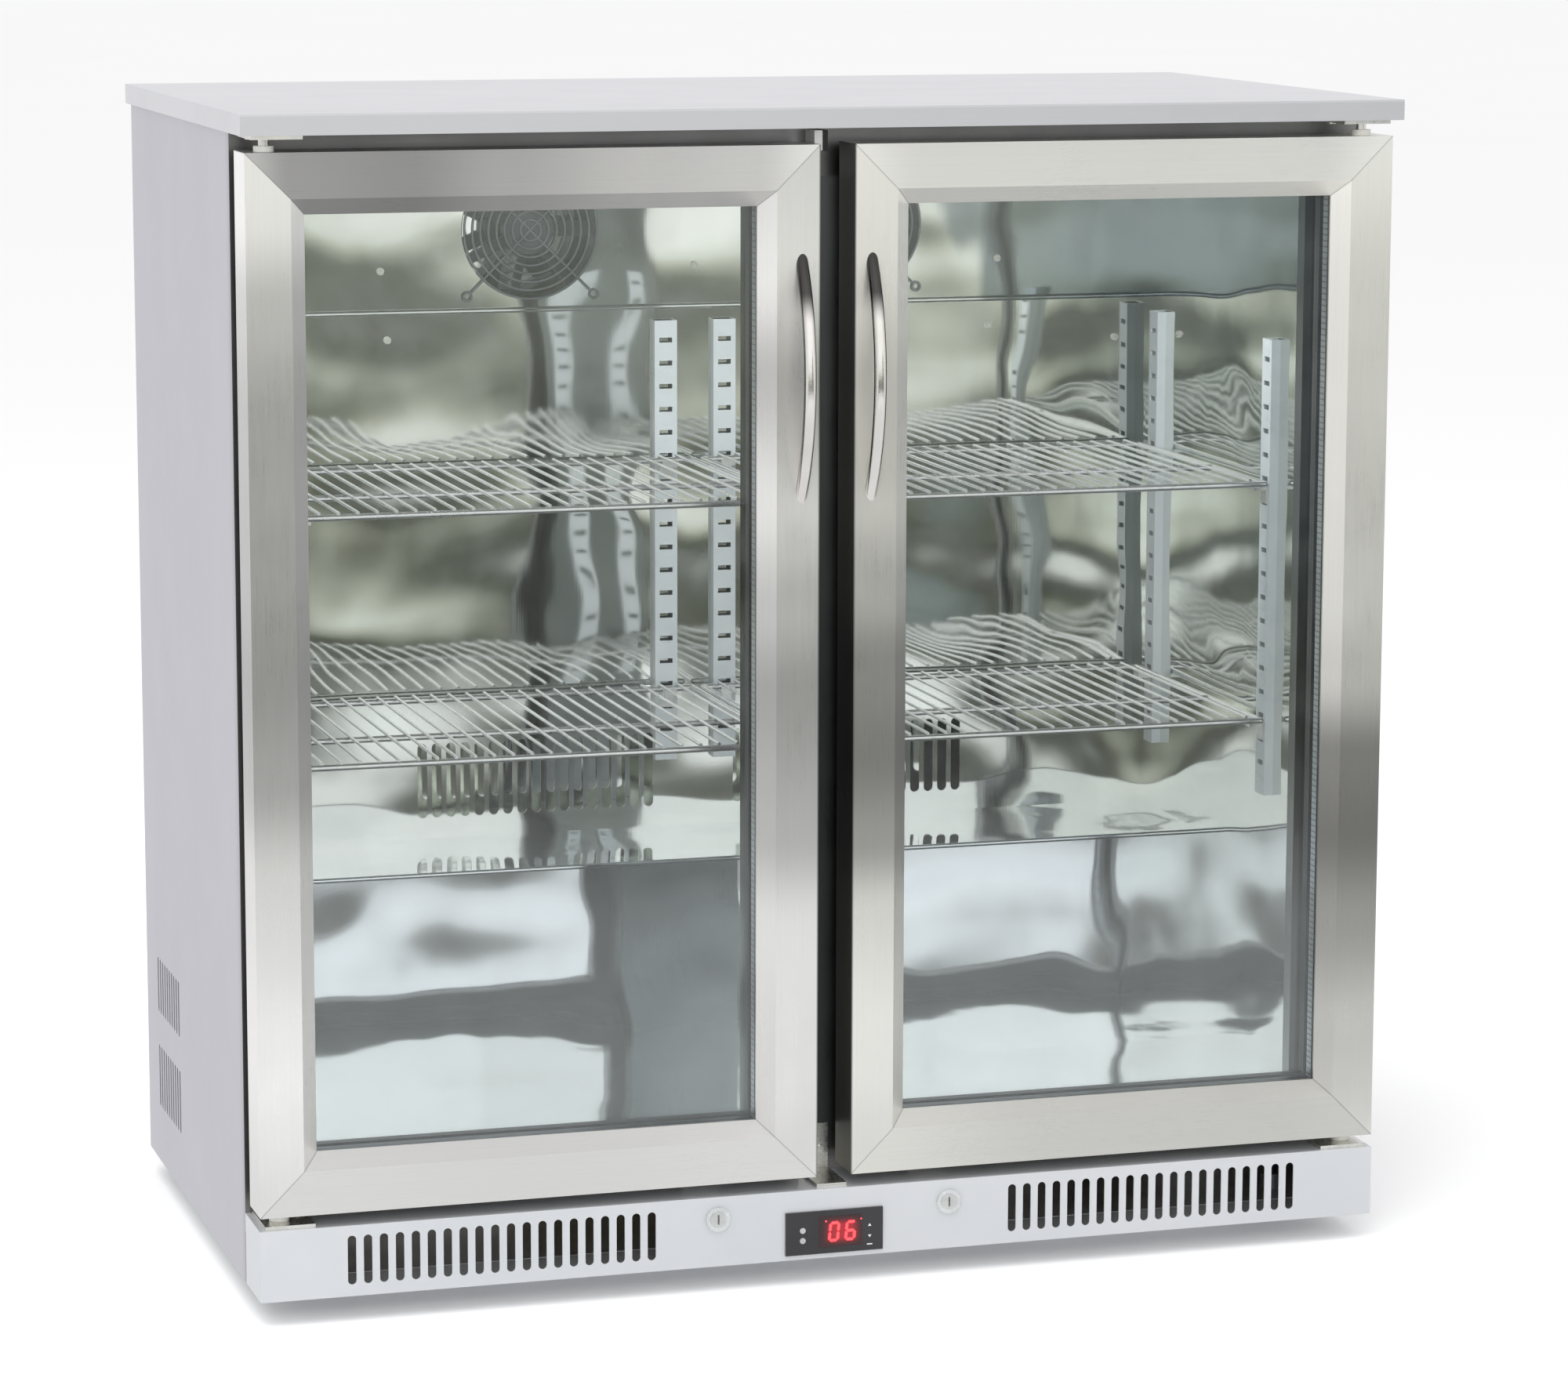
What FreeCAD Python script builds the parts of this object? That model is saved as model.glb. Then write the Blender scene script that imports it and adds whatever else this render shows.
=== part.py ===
import FreeCAD, Part
import Sketcher
import math
import os
from FreeCAD import Vector, Placement, Rotation

# Two-door glass-fronted under-counter bottle cooler.
# Frame: millimetres, +Z up, +X to the right, the doors face -Y.
# Origin: centre of the footprint, on the floor.

doc = FreeCAD.newDocument("bottle_cooler")
sheet = doc.addObject("Spreadsheet::Sheet", "dims")

# (alias, value). "half" is measured from x = 0, "level", "low" and "high" are heights
# above the floor, "face" is a place along Y.
SIZES = [
    # overall cabinet
    ("top_half", 450.0), ("cab_half", 446.0), ("front_face", -224.0), ("body_face", -167.0),
    ("top_front", -234.5), ("back_face", 260.0), ("top_level", 900.0), ("lip_level", 884.5),
    ("base_level", 20.0), ("plinth_level", 74.5), ("skin", 1.2),
    # door opening and liner
    ("open_half", 398.0), ("open_low", 108.0), ("open_high", 845.0), ("liner_skin", 1.0),
    ("duct_face", 172.5), ("chamber_back", 221.0), ("step_face", 34.0), ("step_level", 285.0),
    ("cover_low", 716.5), ("cover_face", 168.5), ("mullion_half", 49.0), ("mullion_depth", 33.0),
    # doors
    ("door_outer", 445.5), ("door_inner", 13.5), ("door_low", 84.5), ("door_high", 872.0),
    ("door_thick", 40.0), ("rail_flat", 33.5), ("rail_wide", 45.5), ("bevel_deep", 12.0),
    ("glass_seat", 14.0), ("pane_thick", 4.0), ("pane_gap", 9.0), ("glass_inset", 36.5),
    ("gasket_in", 19.0), ("gasket_wide", 15.0), ("pivot_in", 18.0), ("pivot_deep", 20.0),
    ("pin_rad", 4.0), ("run_gap", 0.05), ("bush_rad", 6.0),
    # handle
    ("handle_x", 27.3), ("handle_mid", 698.2), ("bow_rad", 181.7), ("bow_out", 20.5),
    ("grip_wide", 9.5), ("grip_thick", 9.0),
    # plinth grille
    ("grille_slots", 20.0), ("grille_first", 144.8), ("grille_pitch", 12.2), ("slot_low", 29.0),
    ("slot_high", 66.6), ("slot_wide", 6.5), ("lock_x", 92.7), ("lock_z", 57.3),
    # shelves
    ("shelf_upper", 593.0), ("shelf_lower", 403.0), ("shelf_out", 387.0), ("shelf_in", 5.0),
    ("shelf_front", -122.0), ("shelf_back", 157.5), ("frame_wire", 2.5), ("deck_wire", 1.3),
    ("deck_count", 25.0), ("rail_mid", -10.0),
    # pilasters
    ("pil_wide", 19.0), ("pil_deep", 7.5), ("pil_low", 342.0), ("pil_high", 707.0),
    ("pil_x", 25.0), ("pil_rear_y", 137.0), ("pil_front_y", -113.0),
    # fans
    ("fan_x", 138.0), ("fan_z", 783.0), ("fan_size", 119.0), ("fan_bore", 57.5),
    ("fan_deep", 25.4),
    # feet
    ("foot_x", 400.0), ("foot_front", -130.0), ("foot_rear", 215.0), ("stem_rad", 4.0),
]
for row_number, (alias, value) in enumerate(SIZES, start=1):
    sheet.set("A%d" % row_number, alias)
    sheet.set("B%d" % row_number, "%g" % value)
    sheet.setAlias("B%d" % row_number, alias)
doc.recompute()


class Size:
    """A size: its number and the sheet expression that gives it."""

    def __init__(self, value, text):
        self.value = float(value)
        self.text = text

    def __add__(self, other):
        other = size(other)
        return Size(self.value + other.value, "(%s + %s)" % (self.text, other.text))

    def __sub__(self, other):
        other = size(other)
        return Size(self.value - other.value, "(%s - %s)" % (self.text, other.text))

    def __mul__(self, other):
        other = size(other)
        return Size(self.value * other.value, "(%s * %s)" % (self.text, other.text))

    def __truediv__(self, other):
        other = size(other)
        return Size(self.value / other.value, "(%s / %s)" % (self.text, other.text))

    def __neg__(self):
        return Size(-self.value, "(0 - %s)" % self.text)

    def __rsub__(self, other):
        return size(other) - self

    def __rmul__(self, other):
        return size(other) * self


def size(number):
    if isinstance(number, Size):
        return number
    return Size(number, "%.6g" % number if number >= 0 else "(0 - %.6g)" % -number)


class Dims:
    """One Size per alias of the sheet."""


dims = Dims()
for alias, value in SIZES:
    setattr(dims, alias, Size(value, "dims." + alias))

name_counter = [0]


def uid(stem):
    name_counter[0] += 1
    return "%s_%03d" % (stem, name_counter[0])


def bind(obj, prop, value):
    obj.setExpression(prop, size(value).text)


# ---------------------------------------------------------------- primitives
AXIS_TURNS = {
    "X": Rotation(Vector(0, 1, 0), 90),
    "Y": Rotation(Vector(1, 0, 0), -90),
    "Z": Rotation(),
}


def primitive(kind, axis, x, y, z, **sizes):
    """Part primitive at (x, y, z), its own Z turned to the axis."""
    solid = doc.addObject("Part::" + kind, uid(kind.lower()))
    solid.Placement = Placement(Vector(), AXIS_TURNS[axis])
    for prop, value in sizes.items():
        bind(solid, prop, value)
    bind(solid, "Placement.Base.x", x)
    bind(solid, "Placement.Base.y", y)
    bind(solid, "Placement.Base.z", z)
    return solid


def box(x0, x1, y0, y1, z0, z1):
    return primitive("Box", "Z", x0, y0, z0,
                     Length=size(x1) - x0, Width=size(y1) - y0, Height=size(z1) - z0)


def cyl(axis, x, y, z, radius, length):
    """Cylinder from (x, y, z) along +axis."""
    return primitive("Cylinder", axis, x, y, z, Radius=radius, Height=length)


def ring(axis, x, y, z, radius, wire):
    return primitive("Torus", axis, x, y, z, Radius1=radius, Radius2=wire)


def placed_box(length, width, height, placement):
    solid = doc.addObject("Part::Box", uid("box"))
    solid.Length, solid.Width, solid.Height = length, width, height
    solid.Placement = placement
    return solid


def fuse(items):
    result = doc.addObject("Part::MultiFuse", uid("fuse"))
    result.Shapes = items
    return result


def group(items, at=None):
    result = doc.addObject("Part::Compound", uid("set"))
    result.Links = items
    if at is not None:
        result.Placement = at
    return result


def cut(base, tools):
    tool = tools[0] if len(tools) == 1 else group(tools)
    result = doc.addObject("Part::Cut", uid("cut"))
    result.Base = base
    result.Tool = tool
    return result


def mirror(source):
    """Copy reflected in the plane x = 0."""
    result = doc.addObject("Part::Mirroring", uid("mirror"))
    result.Source = source
    result.Normal = Vector(1, 0, 0)
    result.Base = Vector(0, 0, 0)
    return result


# ---------------------------------------------------------------- sketches
# Sketch planes: XY is (X, Y) with its normal +Z; YZ is (Y, Z), normal +X;
# XZ is (X, Z), normal -Y, so a pad on it grows towards the front.
def new_body():
    return doc.addObject("PartDesign::Body", uid("body"))


def new_sketch(body, plane, level):
    """Sketch on the named plane, at this coordinate on the axis across it."""
    support = next(o for o in body.Origin.OriginFeatures if o.Role == plane + "_Plane")
    sketch = body.newObject("Sketcher::SketchObject", uid("sketch"))
    sketch.AttachmentSupport = [(support, "")]
    sketch.MapMode = "FlatFace"
    offset = -size(level) if plane == "XZ" else size(level)
    sketch.AttachmentOffset = Placement(Vector(0, 0, offset.value), Rotation())
    bind(sketch, "AttachmentOffset.Base.z", offset)
    return sketch


def constrain(sketch, kind, *args):
    """Add a driving dimension; the last argument is its Size."""
    value = args[-1]
    index = sketch.addConstraint(Sketcher.Constraint(kind, *args[:-1], value.value))
    bind(sketch, "Constraints[%d]" % index, value)


def pin_point(sketch, geo, pos, x, y):
    """Fix one sketch point at (x, y) with driving dimensions from the sheet."""
    for kind, value, axis in (("DistanceX", size(x), -2), ("DistanceY", size(y), -1)):
        if abs(value.value) < 1e-9:
            sketch.addConstraint(Sketcher.Constraint("PointOnObject", geo, pos, axis))
        elif value.value > 0:
            constrain(sketch, kind, -1, 1, geo, pos, value)
        else:
            constrain(sketch, kind, geo, pos, -1, 1, -value)


def add_poly(sketch, points, close=True):
    points = [(size(x), size(y)) for x, y in points]
    first = sketch.GeometryCount
    total = len(points)
    lines = total if close else total - 1
    for i in range(lines):
        (x0, y0), (x1, y1) = points[i], points[(i + 1) % total]
        sketch.addGeometry(Part.LineSegment(Vector(x0.value, y0.value, 0),
                                            Vector(x1.value, y1.value, 0)), False)
    for i in range(lines if close else lines - 1):
        following = first + (i + 1) % total
        sketch.addConstraint(Sketcher.Constraint("Coincident", first + i, 2, following, 1))
    for i in range(lines):
        pin_point(sketch, first + i, 1, *points[i])
    if not close:
        pin_point(sketch, first + lines - 1, 2, *points[-1])


def add_circle(sketch, x, y, radius):
    x, y, radius = size(x), size(y), size(radius)
    circle = Part.Circle(Vector(x.value, y.value, 0), Vector(0, 0, 1), radius.value)
    geo = sketch.addGeometry(circle, False)
    pin_point(sketch, geo, 3, x, y)
    constrain(sketch, "Radius", geo, radius)


def add_slot(sketch, x, bottom, top, width):
    """Upright slot with round ends, overall from bottom to top."""
    x, radius = size(x), size(width) / 2
    low, high = bottom + radius, top - radius
    left, right = x.value - radius.value, x.value + radius.value
    first = sketch.GeometryCount

    def arc(centre, start):
        circle = Part.Circle(Vector(x.value, centre.value, 0), Vector(0, 0, 1), radius.value)
        sketch.addGeometry(Part.ArcOfCircle(circle, start, start + math.pi), False)

    def line(at, start, end):
        sketch.addGeometry(Part.LineSegment(Vector(at, start.value, 0),
                                            Vector(at, end.value, 0)), False)

    arc(high, 0)
    line(left, high, low)
    arc(low, math.pi)
    line(right, low, high)
    for i in range(4):
        following = first + (i + 1) % 4
        sketch.addConstraint(Sketcher.Constraint("Tangent", first + i, 2, following, 1))
    sketch.addConstraint(Sketcher.Constraint("Equal", first, first + 2))
    pin_point(sketch, first, 3, x, high)
    constrain(sketch, "DistanceY", -1, 1, first + 2, 3, low)
    constrain(sketch, "Radius", first, radius)


def rect(x0, x1, y0, y1):
    return [(x0, y0), (x1, y0), (x1, y1), (x0, y1)]


def draw(body, plane, level, outlines=(), circles=(), slots=()):
    """Sketch of closed outlines, circles (x, y, radius), slots (x, bottom, top, width)."""
    sketch = new_sketch(body, plane, level)
    for points in outlines:
        add_poly(sketch, points)
    for circle in circles:
        add_circle(sketch, *circle)
    for x, bottom, top, width in slots:
        add_slot(sketch, x, size(bottom), size(top), width)
    return sketch


# ---------------------------------------------------------------- body features
def pad(body, sketch, length):
    feature = body.newObject("PartDesign::Pad", uid("pad"))
    feature.Profile = sketch
    bind(feature, "Length", length)
    body.Tip = feature


def prism(plane, start, end, outlines, circles=()):
    """Body with one pad along the plane's normal; on XZ it runs from back to front."""
    start, end = size(start), size(end)
    body = new_body()
    sketch = draw(body, plane, start, outlines, circles)
    pad(body, sketch, start - end if plane == "XZ" else end - start)
    return body


def pocket(body, sketch, depth, reverse=False, midplane=False):
    """Cut, and stop if the cut takes nothing away."""
    doc.recompute()
    before = body.Shape.Volume
    feature = body.newObject("PartDesign::Pocket", uid("pocket"))
    feature.Profile = sketch
    bind(feature, "Length", depth)
    feature.Reversed = reverse
    if midplane:
        feature.Midplane = True
    body.Tip = feature
    doc.recompute()
    if not body.Shape.Volume < before - 1e-6:
        raise RuntimeError("pocket cut nothing in " + body.Name)
    return feature


def pocket_row(body, sketch, depth, length, count, axis="H_Axis", reverse=False):
    """A pocket repeated evenly over a length along a sketch axis."""
    feature = pocket(body, sketch, depth, reverse)
    row = body.newObject("PartDesign::LinearPattern", uid("row"))
    row.Originals = [feature]
    row.Direction = (sketch, [axis])
    bind(row, "Length", length)
    bind(row, "Occurrences", count)
    body.Tip = row


def revolve(body, sketch, axis, angle=360.0, name=None, midplane=False):
    feature = body.newObject("PartDesign::Revolution", name or uid("turned"))
    feature.Profile = sketch
    feature.ReferenceAxis = (sketch, [axis])
    feature.Angle = angle
    if midplane:
        feature.Midplane = True
    body.Tip = feature


def pipe(plane, level, path, start_plane, start_level, centre, radius):
    """Round pipe along a flat path with square-cut ends."""
    body = new_body()
    spine = new_sketch(body, plane, level)
    add_poly(spine, path, close=False)
    section = draw(body, start_plane, start_level, circles=[(*centre, radius)])
    feature = body.newObject("PartDesign::AdditivePipe", uid("pipe"))
    feature.Profile = section
    feature.Spine = (spine, ["Edge%d" % (i + 1) for i in range(len(path) - 1)])
    feature.Transition = "Round corner"
    body.Tip = feature
    return body


def mitred_frame(profile, reach, x0, x1, z0, z1, front):
    """Four lengths of one section, mitred at the corners.

    profile is a list of (inset from the outer edge, depth behind front);
    reach is its greatest inset."""
    over = 2.0          # the mitre cuts run this far past the section
    thru = 200.0
    reach = size(reach) + over
    lengths = []
    for edge, inward in ((x0, 1), (x1, -1)):
        section = [(edge + inward * inset, front + depth) for inset, depth in profile]
        body = prism("XY", z0, z1, [section])
        outer, inner = edge - inward * over, edge + inward * reach
        corners = [[(outer, z0 - over), (inner, z0 - over), (inner, z0 + reach)],
                   [(outer, z1 + over), (inner, z1 - reach), (inner, z1 + over)]]
        pocket(body, draw(body, "XZ", front, corners), thru, midplane=True)
        lengths.append(body)
    for edge, inward in ((z0, 1), (z1, -1)):
        section = [(front + depth, edge + inward * inset) for inset, depth in profile]
        body = prism("YZ", x0, x1, [section])
        outer, inner = edge - inward * over, edge + inward * reach
        corners = [[(x0 - over, outer), (x0 + reach, inner), (x0 - over, inner)],
                   [(x1 + over, outer), (x1 + over, inner), (x1 - reach, inner)]]
        pocket(body, draw(body, "XZ", front, corners), thru, midplane=True)
        lengths.append(body)
    return group(lengths)


nodes = {}


def node(name, obj):
    """Label an object and list it for export."""
    obj.Label = name
    nodes[name] = obj


def node_pair(name, obj):
    """The left-hand part and its mirror image."""
    node(name + "_left", obj)
    node(name + "_right", mirror(obj))


# ================================================================ shared places
skin, liner = dims.skin, dims.liner_skin
SIDES = (-1, 1)

frame_skin, frame_deep = 1.5, 13.5          # front frame: sheet, and depth of its return
casing_front = dims.body_face + frame_skin
liner_front = dims.body_face + frame_deep
inner_half = dims.cab_half - skin           # inside of the side panels
liner_half = dims.open_half + liner         # outside of the liner
mullion_back = dims.body_face + dims.mullion_depth

rear_out = dims.back_face - 2.2             # outer face of the rear panels
rear_mid = rear_out - skin                  # their inner face
rear_in = rear_mid - skin                   # inner face of the side panels' rear flanges
rear_half = dims.cab_half - 0.1

foot_places = [(x, y) for x in (-dims.foot_x, dims.foot_x)
               for y in (dims.foot_front, dims.foot_rear)]

suction_x, suction_y, suction_hole = -320.0, 200.0, 5.0
coil_low = 420.0

lock_rad = 8.0
cam_front, cam_back, cam_reach = -181.0, -178.0, 33.0

control_half, control_low, control_high = 35.4, 26.6, 54.9


# ================================================================ worktop
def worktop():
    """Folded tray with lips all round, closed underneath only at the front overhang."""
    body = prism("YZ", -dims.top_half, dims.top_half,
                 [rect(dims.top_front, dims.back_face, dims.lip_level, dims.top_level)])
    inner = dims.top_half - skin
    front, back = dims.top_front + skin, dims.back_face - skin
    floor, below, ceiling = dims.lip_level + skin, dims.lip_level - 1, dims.top_level - skin
    hollow = draw(body, "YZ", -inner, [[
        (front, floor), (dims.body_face, floor), (dims.body_face, below),
        (back, below), (back, ceiling), (front, ceiling)]])
    pocket(body, hollow, inner * 2, reverse=True)
    return body


node("worktop", worktop())


# ================================================================ outer casing
def side_panel():
    """Left side, with a flange turned in at the back."""
    outer, inner = -dims.cab_half, -inner_half
    flange = inner + 14
    body = prism("XY", dims.base_level, dims.top_level - skin, [[
        (outer, casing_front), (inner, casing_front), (inner, rear_in),
        (flange, rear_in), (flange, rear_mid), (outer, rear_mid)]])
    # two blocks of upright louvre slots beside the machine compartment
    louvres = draw(body, "YZ", outer - 1, slots=[(109.5, 147, 192.5, 5.0),
                                                 (109.5, 67.5, 119, 5.0)])
    pocket_row(body, louvres, 4, length=94.0, count=10, reverse=True)
    return body


def rear_grille():
    """Lower rear panel with two blocks of slots in two rows."""
    body = prism("XZ", rear_out, rear_mid, [rect(-rear_half, rear_half, 20.5, 245.5)])
    slots = [(x, z, z + 62.0, 6.0) for x in (-330.0, 130.0) for z in (50.0, 130.0)]
    sketch = draw(body, "XZ", rear_out + 1, slots=slots)
    pocket_row(body, sketch, 4, length=180.0, count=16, reverse=True)
    return body


def base_pan():
    """Floor sheet with a boss round each foot stem."""
    boss_rad, boss_high = 9.0, 12.0
    hole = dims.stem_rad + dims.run_gap
    top = dims.base_level + skin
    body = prism("XY", dims.base_level, top,
                 [rect(-inner_half, inner_half, casing_front, rear_in)],
                 [(x, y, hole) for x, y in foot_places])
    bosses = draw(body, "XY", top, circles=[(x, y, radius) for x, y in foot_places
                                            for radius in (boss_rad, hole)])
    pad(body, bosses, boss_high)
    return body


node_pair("side_panel", side_panel())
node("rear_panel", box(-rear_half, rear_half, rear_mid, rear_out, 246.0, dims.lip_level - 0.3))
node("rear_grille", rear_grille())
node("base_pan", base_pan())


# ================================================================ plinth grille
def front_grille():
    """Plinth box, open at the back, pierced for the controller, locks, cams and air."""
    body = prism("XZ", dims.body_face, dims.front_face,
                 [rect(-dims.cab_half, dims.cab_half, dims.base_level, dims.plinth_level)])
    hollow = draw(body, "XZ", dims.body_face, [rect(
        -inner_half, inner_half, dims.base_level + skin, dims.plinth_level - skin)])
    pocket(body, hollow, dims.body_face - dims.front_face - skin, reverse=True)

    before, depth = dims.front_face - 1, 4
    play = 0.1
    openings = draw(body, "XZ", before,
                    [rect(-(control_half + play), control_half + play,
                          control_low - play, control_high + play)],
                    [(side * dims.lock_x, dims.lock_z, lock_rad) for side in SIDES])
    pocket(body, openings, depth)

    outer, inner = dims.lock_x + 6, dims.lock_x - cam_reach
    front, back = cam_front - 0.8, cam_back + 0.8
    cam_slots = draw(body, "XY", dims.plinth_level + 1,
                     [rect(-outer, -inner, front, back), rect(inner, outer, front, back)])
    pocket(body, cam_slots, depth)

    span = (dims.grille_slots - 1) * dims.grille_pitch
    upright = (dims.slot_low, dims.slot_high, dims.slot_wide)
    air = draw(body, "XZ", before, slots=[(-(dims.grille_first + span), *upright),
                                          (dims.grille_first, *upright)])
    pocket_row(body, air, depth, span, dims.grille_slots)
    return body


node("front_grille", front_grille())


# ================================================================ front frame and centre post
def front_frame():
    edge = dims.cab_half - dims.open_half
    profile = [(0, 0), (edge, 0), (edge, frame_deep), (edge - liner, frame_deep),
               (edge - liner, frame_skin), (0, frame_skin)]
    return mitred_frame(profile, edge, -dims.cab_half, dims.cab_half,
                        dims.open_low - edge, dims.open_high + edge, dims.body_face)


node("front_frame", front_frame())
half = dims.mullion_half
node("centre_mullion", prism("XY", dims.open_low, dims.open_high, [
    rect(-half, half, dims.body_face, mullion_back),
    rect(-(half - skin), half - skin, dims.body_face + skin, mullion_back - skin)]))


# ================================================================ liner
def liner_panels():
    low, high = dims.open_low, dims.open_high
    step, back = dims.step_face, dims.chamber_back
    # below the step the side plates stop at the riser, so each is cut to an L
    under = box(-(dims.open_half + 5), dims.open_half + 5, step + liner, back + 5,
                low - 5, dims.step_level - liner)
    left = box(-liner_half, -dims.open_half, liner_front, back, low, high)
    right = box(dims.open_half, liner_half, liner_front, back, low, high)
    ceiling = box(-liner_half, liner_half, liner_front, back + liner, high, high + liner)
    floor = box(-liner_half, liner_half, liner_front, step, low - liner, low)
    rear = box(-liner_half, liner_half, back, back + liner, dims.step_level, high)
    return group([cut(left, [under]), cut(right, [under]), ceiling, floor, rear])


def compressor_step():
    """Riser and tread over the machine compartment, with a bead along the nose."""
    front, top = dims.step_face, dims.step_level
    low, back = dims.open_low - liner, dims.chamber_back + liner
    step = prism("YZ", -dims.open_half, dims.open_half, [[
        (front, low), (front + liner, low), (front + liner, top - liner),
        (back, top - liner), (back, top), (front, top)]])
    bead = cyl("X", -dims.open_half, front - 1.3, top - 1.5, 2.0, dims.open_half * 2)
    return cut(fuse([step, bead]), [cyl("Z", suction_x, suction_y, 230, suction_hole, 60)])


def liner_back():
    """Slotted sheet in front of the evaporator coil."""
    body = prism("XZ", dims.duct_face + liner, dims.duct_face,
                 [rect(-dims.open_half, dims.open_half, dims.step_level, dims.cover_low)])
    slots = draw(body, "XZ", dims.duct_face - 1,
                 slots=[(x, 302.0, 364.0, 8.0) for x in (-230.5, 38.5)])
    pocket_row(body, slots, 4, length=192.0, count=17)
    return body


def evaporator_cover():
    """Angled sheet with two fan openings and a bead along its lower edge."""
    face, low = dims.cover_face, dims.cover_low
    duct_back = dims.duct_face + liner
    body = prism("YZ", -dims.open_half, dims.open_half, [[
        (face, low), (duct_back, low), (duct_back, low + skin),
        (face + skin, low + skin), (face + skin, dims.open_high), (face, dims.open_high)]])
    body.Label = "evaporator_cover_body"
    openings = draw(body, "XZ", face - 1, circles=[
        (side * dims.fan_x, dims.fan_z, dims.fan_bore - 1) for side in SIDES])
    pocket(body, openings, 3.5)
    bead = cyl("X", -dims.open_half, face - 1.0, low + 2.0, 2.2, dims.open_half * 2)
    return fuse([body, bead])


def insulation_foam():
    """Fills the casing around the liner and over the machine compartment."""
    foam = box(-inner_half, inner_half, casing_front, rear_in, 79.0, dims.top_level - skin)
    high = dims.open_high + liner
    chamber = box(-liner_half, liner_half, dims.body_face - 5, dims.step_face + liner,
                  dims.open_low - liner, high)
    over_step = box(-liner_half, liner_half, dims.step_face, dims.chamber_back + liner,
                    dims.step_level - liner, high)
    machine = box(-(dims.cab_half + 5), dims.cab_half + 5, dims.step_face + 41,
                  dims.back_face + 5, 70.0, 235.0)
    hole = cyl("Z", suction_x, suction_y, 225, suction_hole, 60)
    return cut(foam, [chamber, over_step, machine, hole])


node("liner_panels", liner_panels())
node("compressor_step", compressor_step())
node("liner_back", liner_back())
node("evaporator_cover", evaporator_cover())
node("insulation_foam", insulation_foam())


# ================================================================ axial fans
def fan_frame():
    """Square frame, motor hub and four arms; air path along the frame's own +Y."""
    hub_front, hub_rad = 16.0, 18.0
    arm_long, arm_deep, arm_high = 118.0, 4.0, 5.0
    half = dims.fan_size / 2
    square = prism("XZ", dims.fan_deep, 0, [rect(-half, half, -half, half)],
                   [(0, 0, dims.fan_bore)])
    items = [square, cyl("Y", 0, hub_front, 0, hub_rad, dims.fan_deep - hub_front)]
    corner = Vector(-arm_long / 2, 0, -arm_high / 2)
    arm_front = Vector(0, dims.fan_deep.value - arm_deep, 0)
    for angle in (45, 135):
        turn = Rotation(Vector(0, 1, 0), angle)
        items.append(placed_box(arm_long, arm_deep, arm_high,
                                Placement(turn.multVec(corner) + arm_front, turn)))
    return fuse(items)


def fan_rotor():
    """Hub with tilted flat blades."""
    blades, pitch_angle = 7, -58
    blade_long, blade_thick, blade_wide = 37.0, 1.4, 20.0
    root = Vector(18.5, 8.2, 0)
    items = [cyl("Y", 0, 1.5, 0, 20.0, 13.5)]
    tilt = Rotation(Vector(1, 0, 0), pitch_angle)
    corner = tilt.multVec(Vector(0, -blade_thick / 2, -blade_wide / 2)) + root
    for k in range(blades):
        spin = Rotation(Vector(0, 1, 0), 360.0 * k / blades)
        items.append(placed_box(blade_long, blade_thick, blade_wide,
                                Placement(spin.multVec(corner), spin * tilt)))
    return fuse(items)


def fan_guard(centre_x):
    """Wire guard: concentric rings on two crossed bars with looped ears."""
    ring_wire, bar_rad, bar_long = 1.0, 1.1, 144.0
    ear_out, ear_rad = 74.9, 3.4
    bar_y = dims.cover_face - bar_rad
    items = [ring("Y", centre_x, bar_y - 1.7, dims.fan_z, 8.5 + 6.7 * k, ring_wire)
             for k in range(8)]
    centre = Vector(centre_x.value, bar_y.value, dims.fan_z.value)
    for angle in (45, 135):
        bar = doc.addObject("Part::Cylinder", uid("bar"))
        bar.Radius = bar_rad
        bar.Height = bar_long
        turn = Rotation(Vector(0, 1, 0), angle)
        bar.Placement = Placement(centre + turn.multVec(Vector(0, 0, -bar_long / 2)), turn)
        items.append(bar)
    for angle in (45, 135, 225, 315):
        turn = math.radians(angle)
        items.append(ring("Y", centre_x + ear_out * math.cos(turn), bar_y,
                          dims.fan_z + ear_out * math.sin(turn), ear_rad, bar_rad))
    return fuse(items)


frame, rotor = fan_frame(), fan_rotor()
fan_y = dims.cover_face + skin
left_fan, right_fan = [
    Placement(Vector(side * dims.fan_x.value, fan_y.value, dims.fan_z.value), Rotation())
    for side in SIDES]
node("evaporator_fan_frames", group([group([frame], at=left_fan), group([frame], at=right_fan)]))
node("evaporator_fan_left", group([rotor], at=left_fan))
node("evaporator_fan_right", group([rotor], at=right_fan))

# The condenser fan stands across the machine compartment, its air path along +X.
condenser_fan = Placement(Vector(-376.0, 157.0, 118.0), Rotation(Vector(0, 0, 1), -90))
node("condenser_fan_frame", group([frame], at=condenser_fan))
node("condenser_fan", group([rotor], at=condenser_fan))
node("fan_guards", group([fan_guard(-dims.fan_x), fan_guard(dims.fan_x)]))


# ================================================================ heat exchangers
def finned_block(x0, x1, y0, y1, z0, z1, pitch, count, along="X"):
    """Block with a row of upright grooves down two opposite faces."""
    margin, groove, over = 3.0, 9.0, 1.0
    body = prism("XY", z0, z1, [rect(x0, x1, y0, y1)])
    start = (x0 if along == "X" else y0) + margin
    end = start + pitch * 0.55
    if along == "X":
        grooves = [rect(start, end, y0 - over, y0 + groove),
                   rect(start, end, y1 - groove, y1 + over)]
    else:
        grooves = [rect(x0 - over, x0 + groove, start, end),
                   rect(x1 - groove, x1 + over, start, end)]
    pocket_row(body, draw(body, "XY", z0, grooves), z1 - z0, pitch * (count - 1), count,
               axis="H_Axis" if along == "X" else "V_Axis", reverse=True)
    return body


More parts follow.
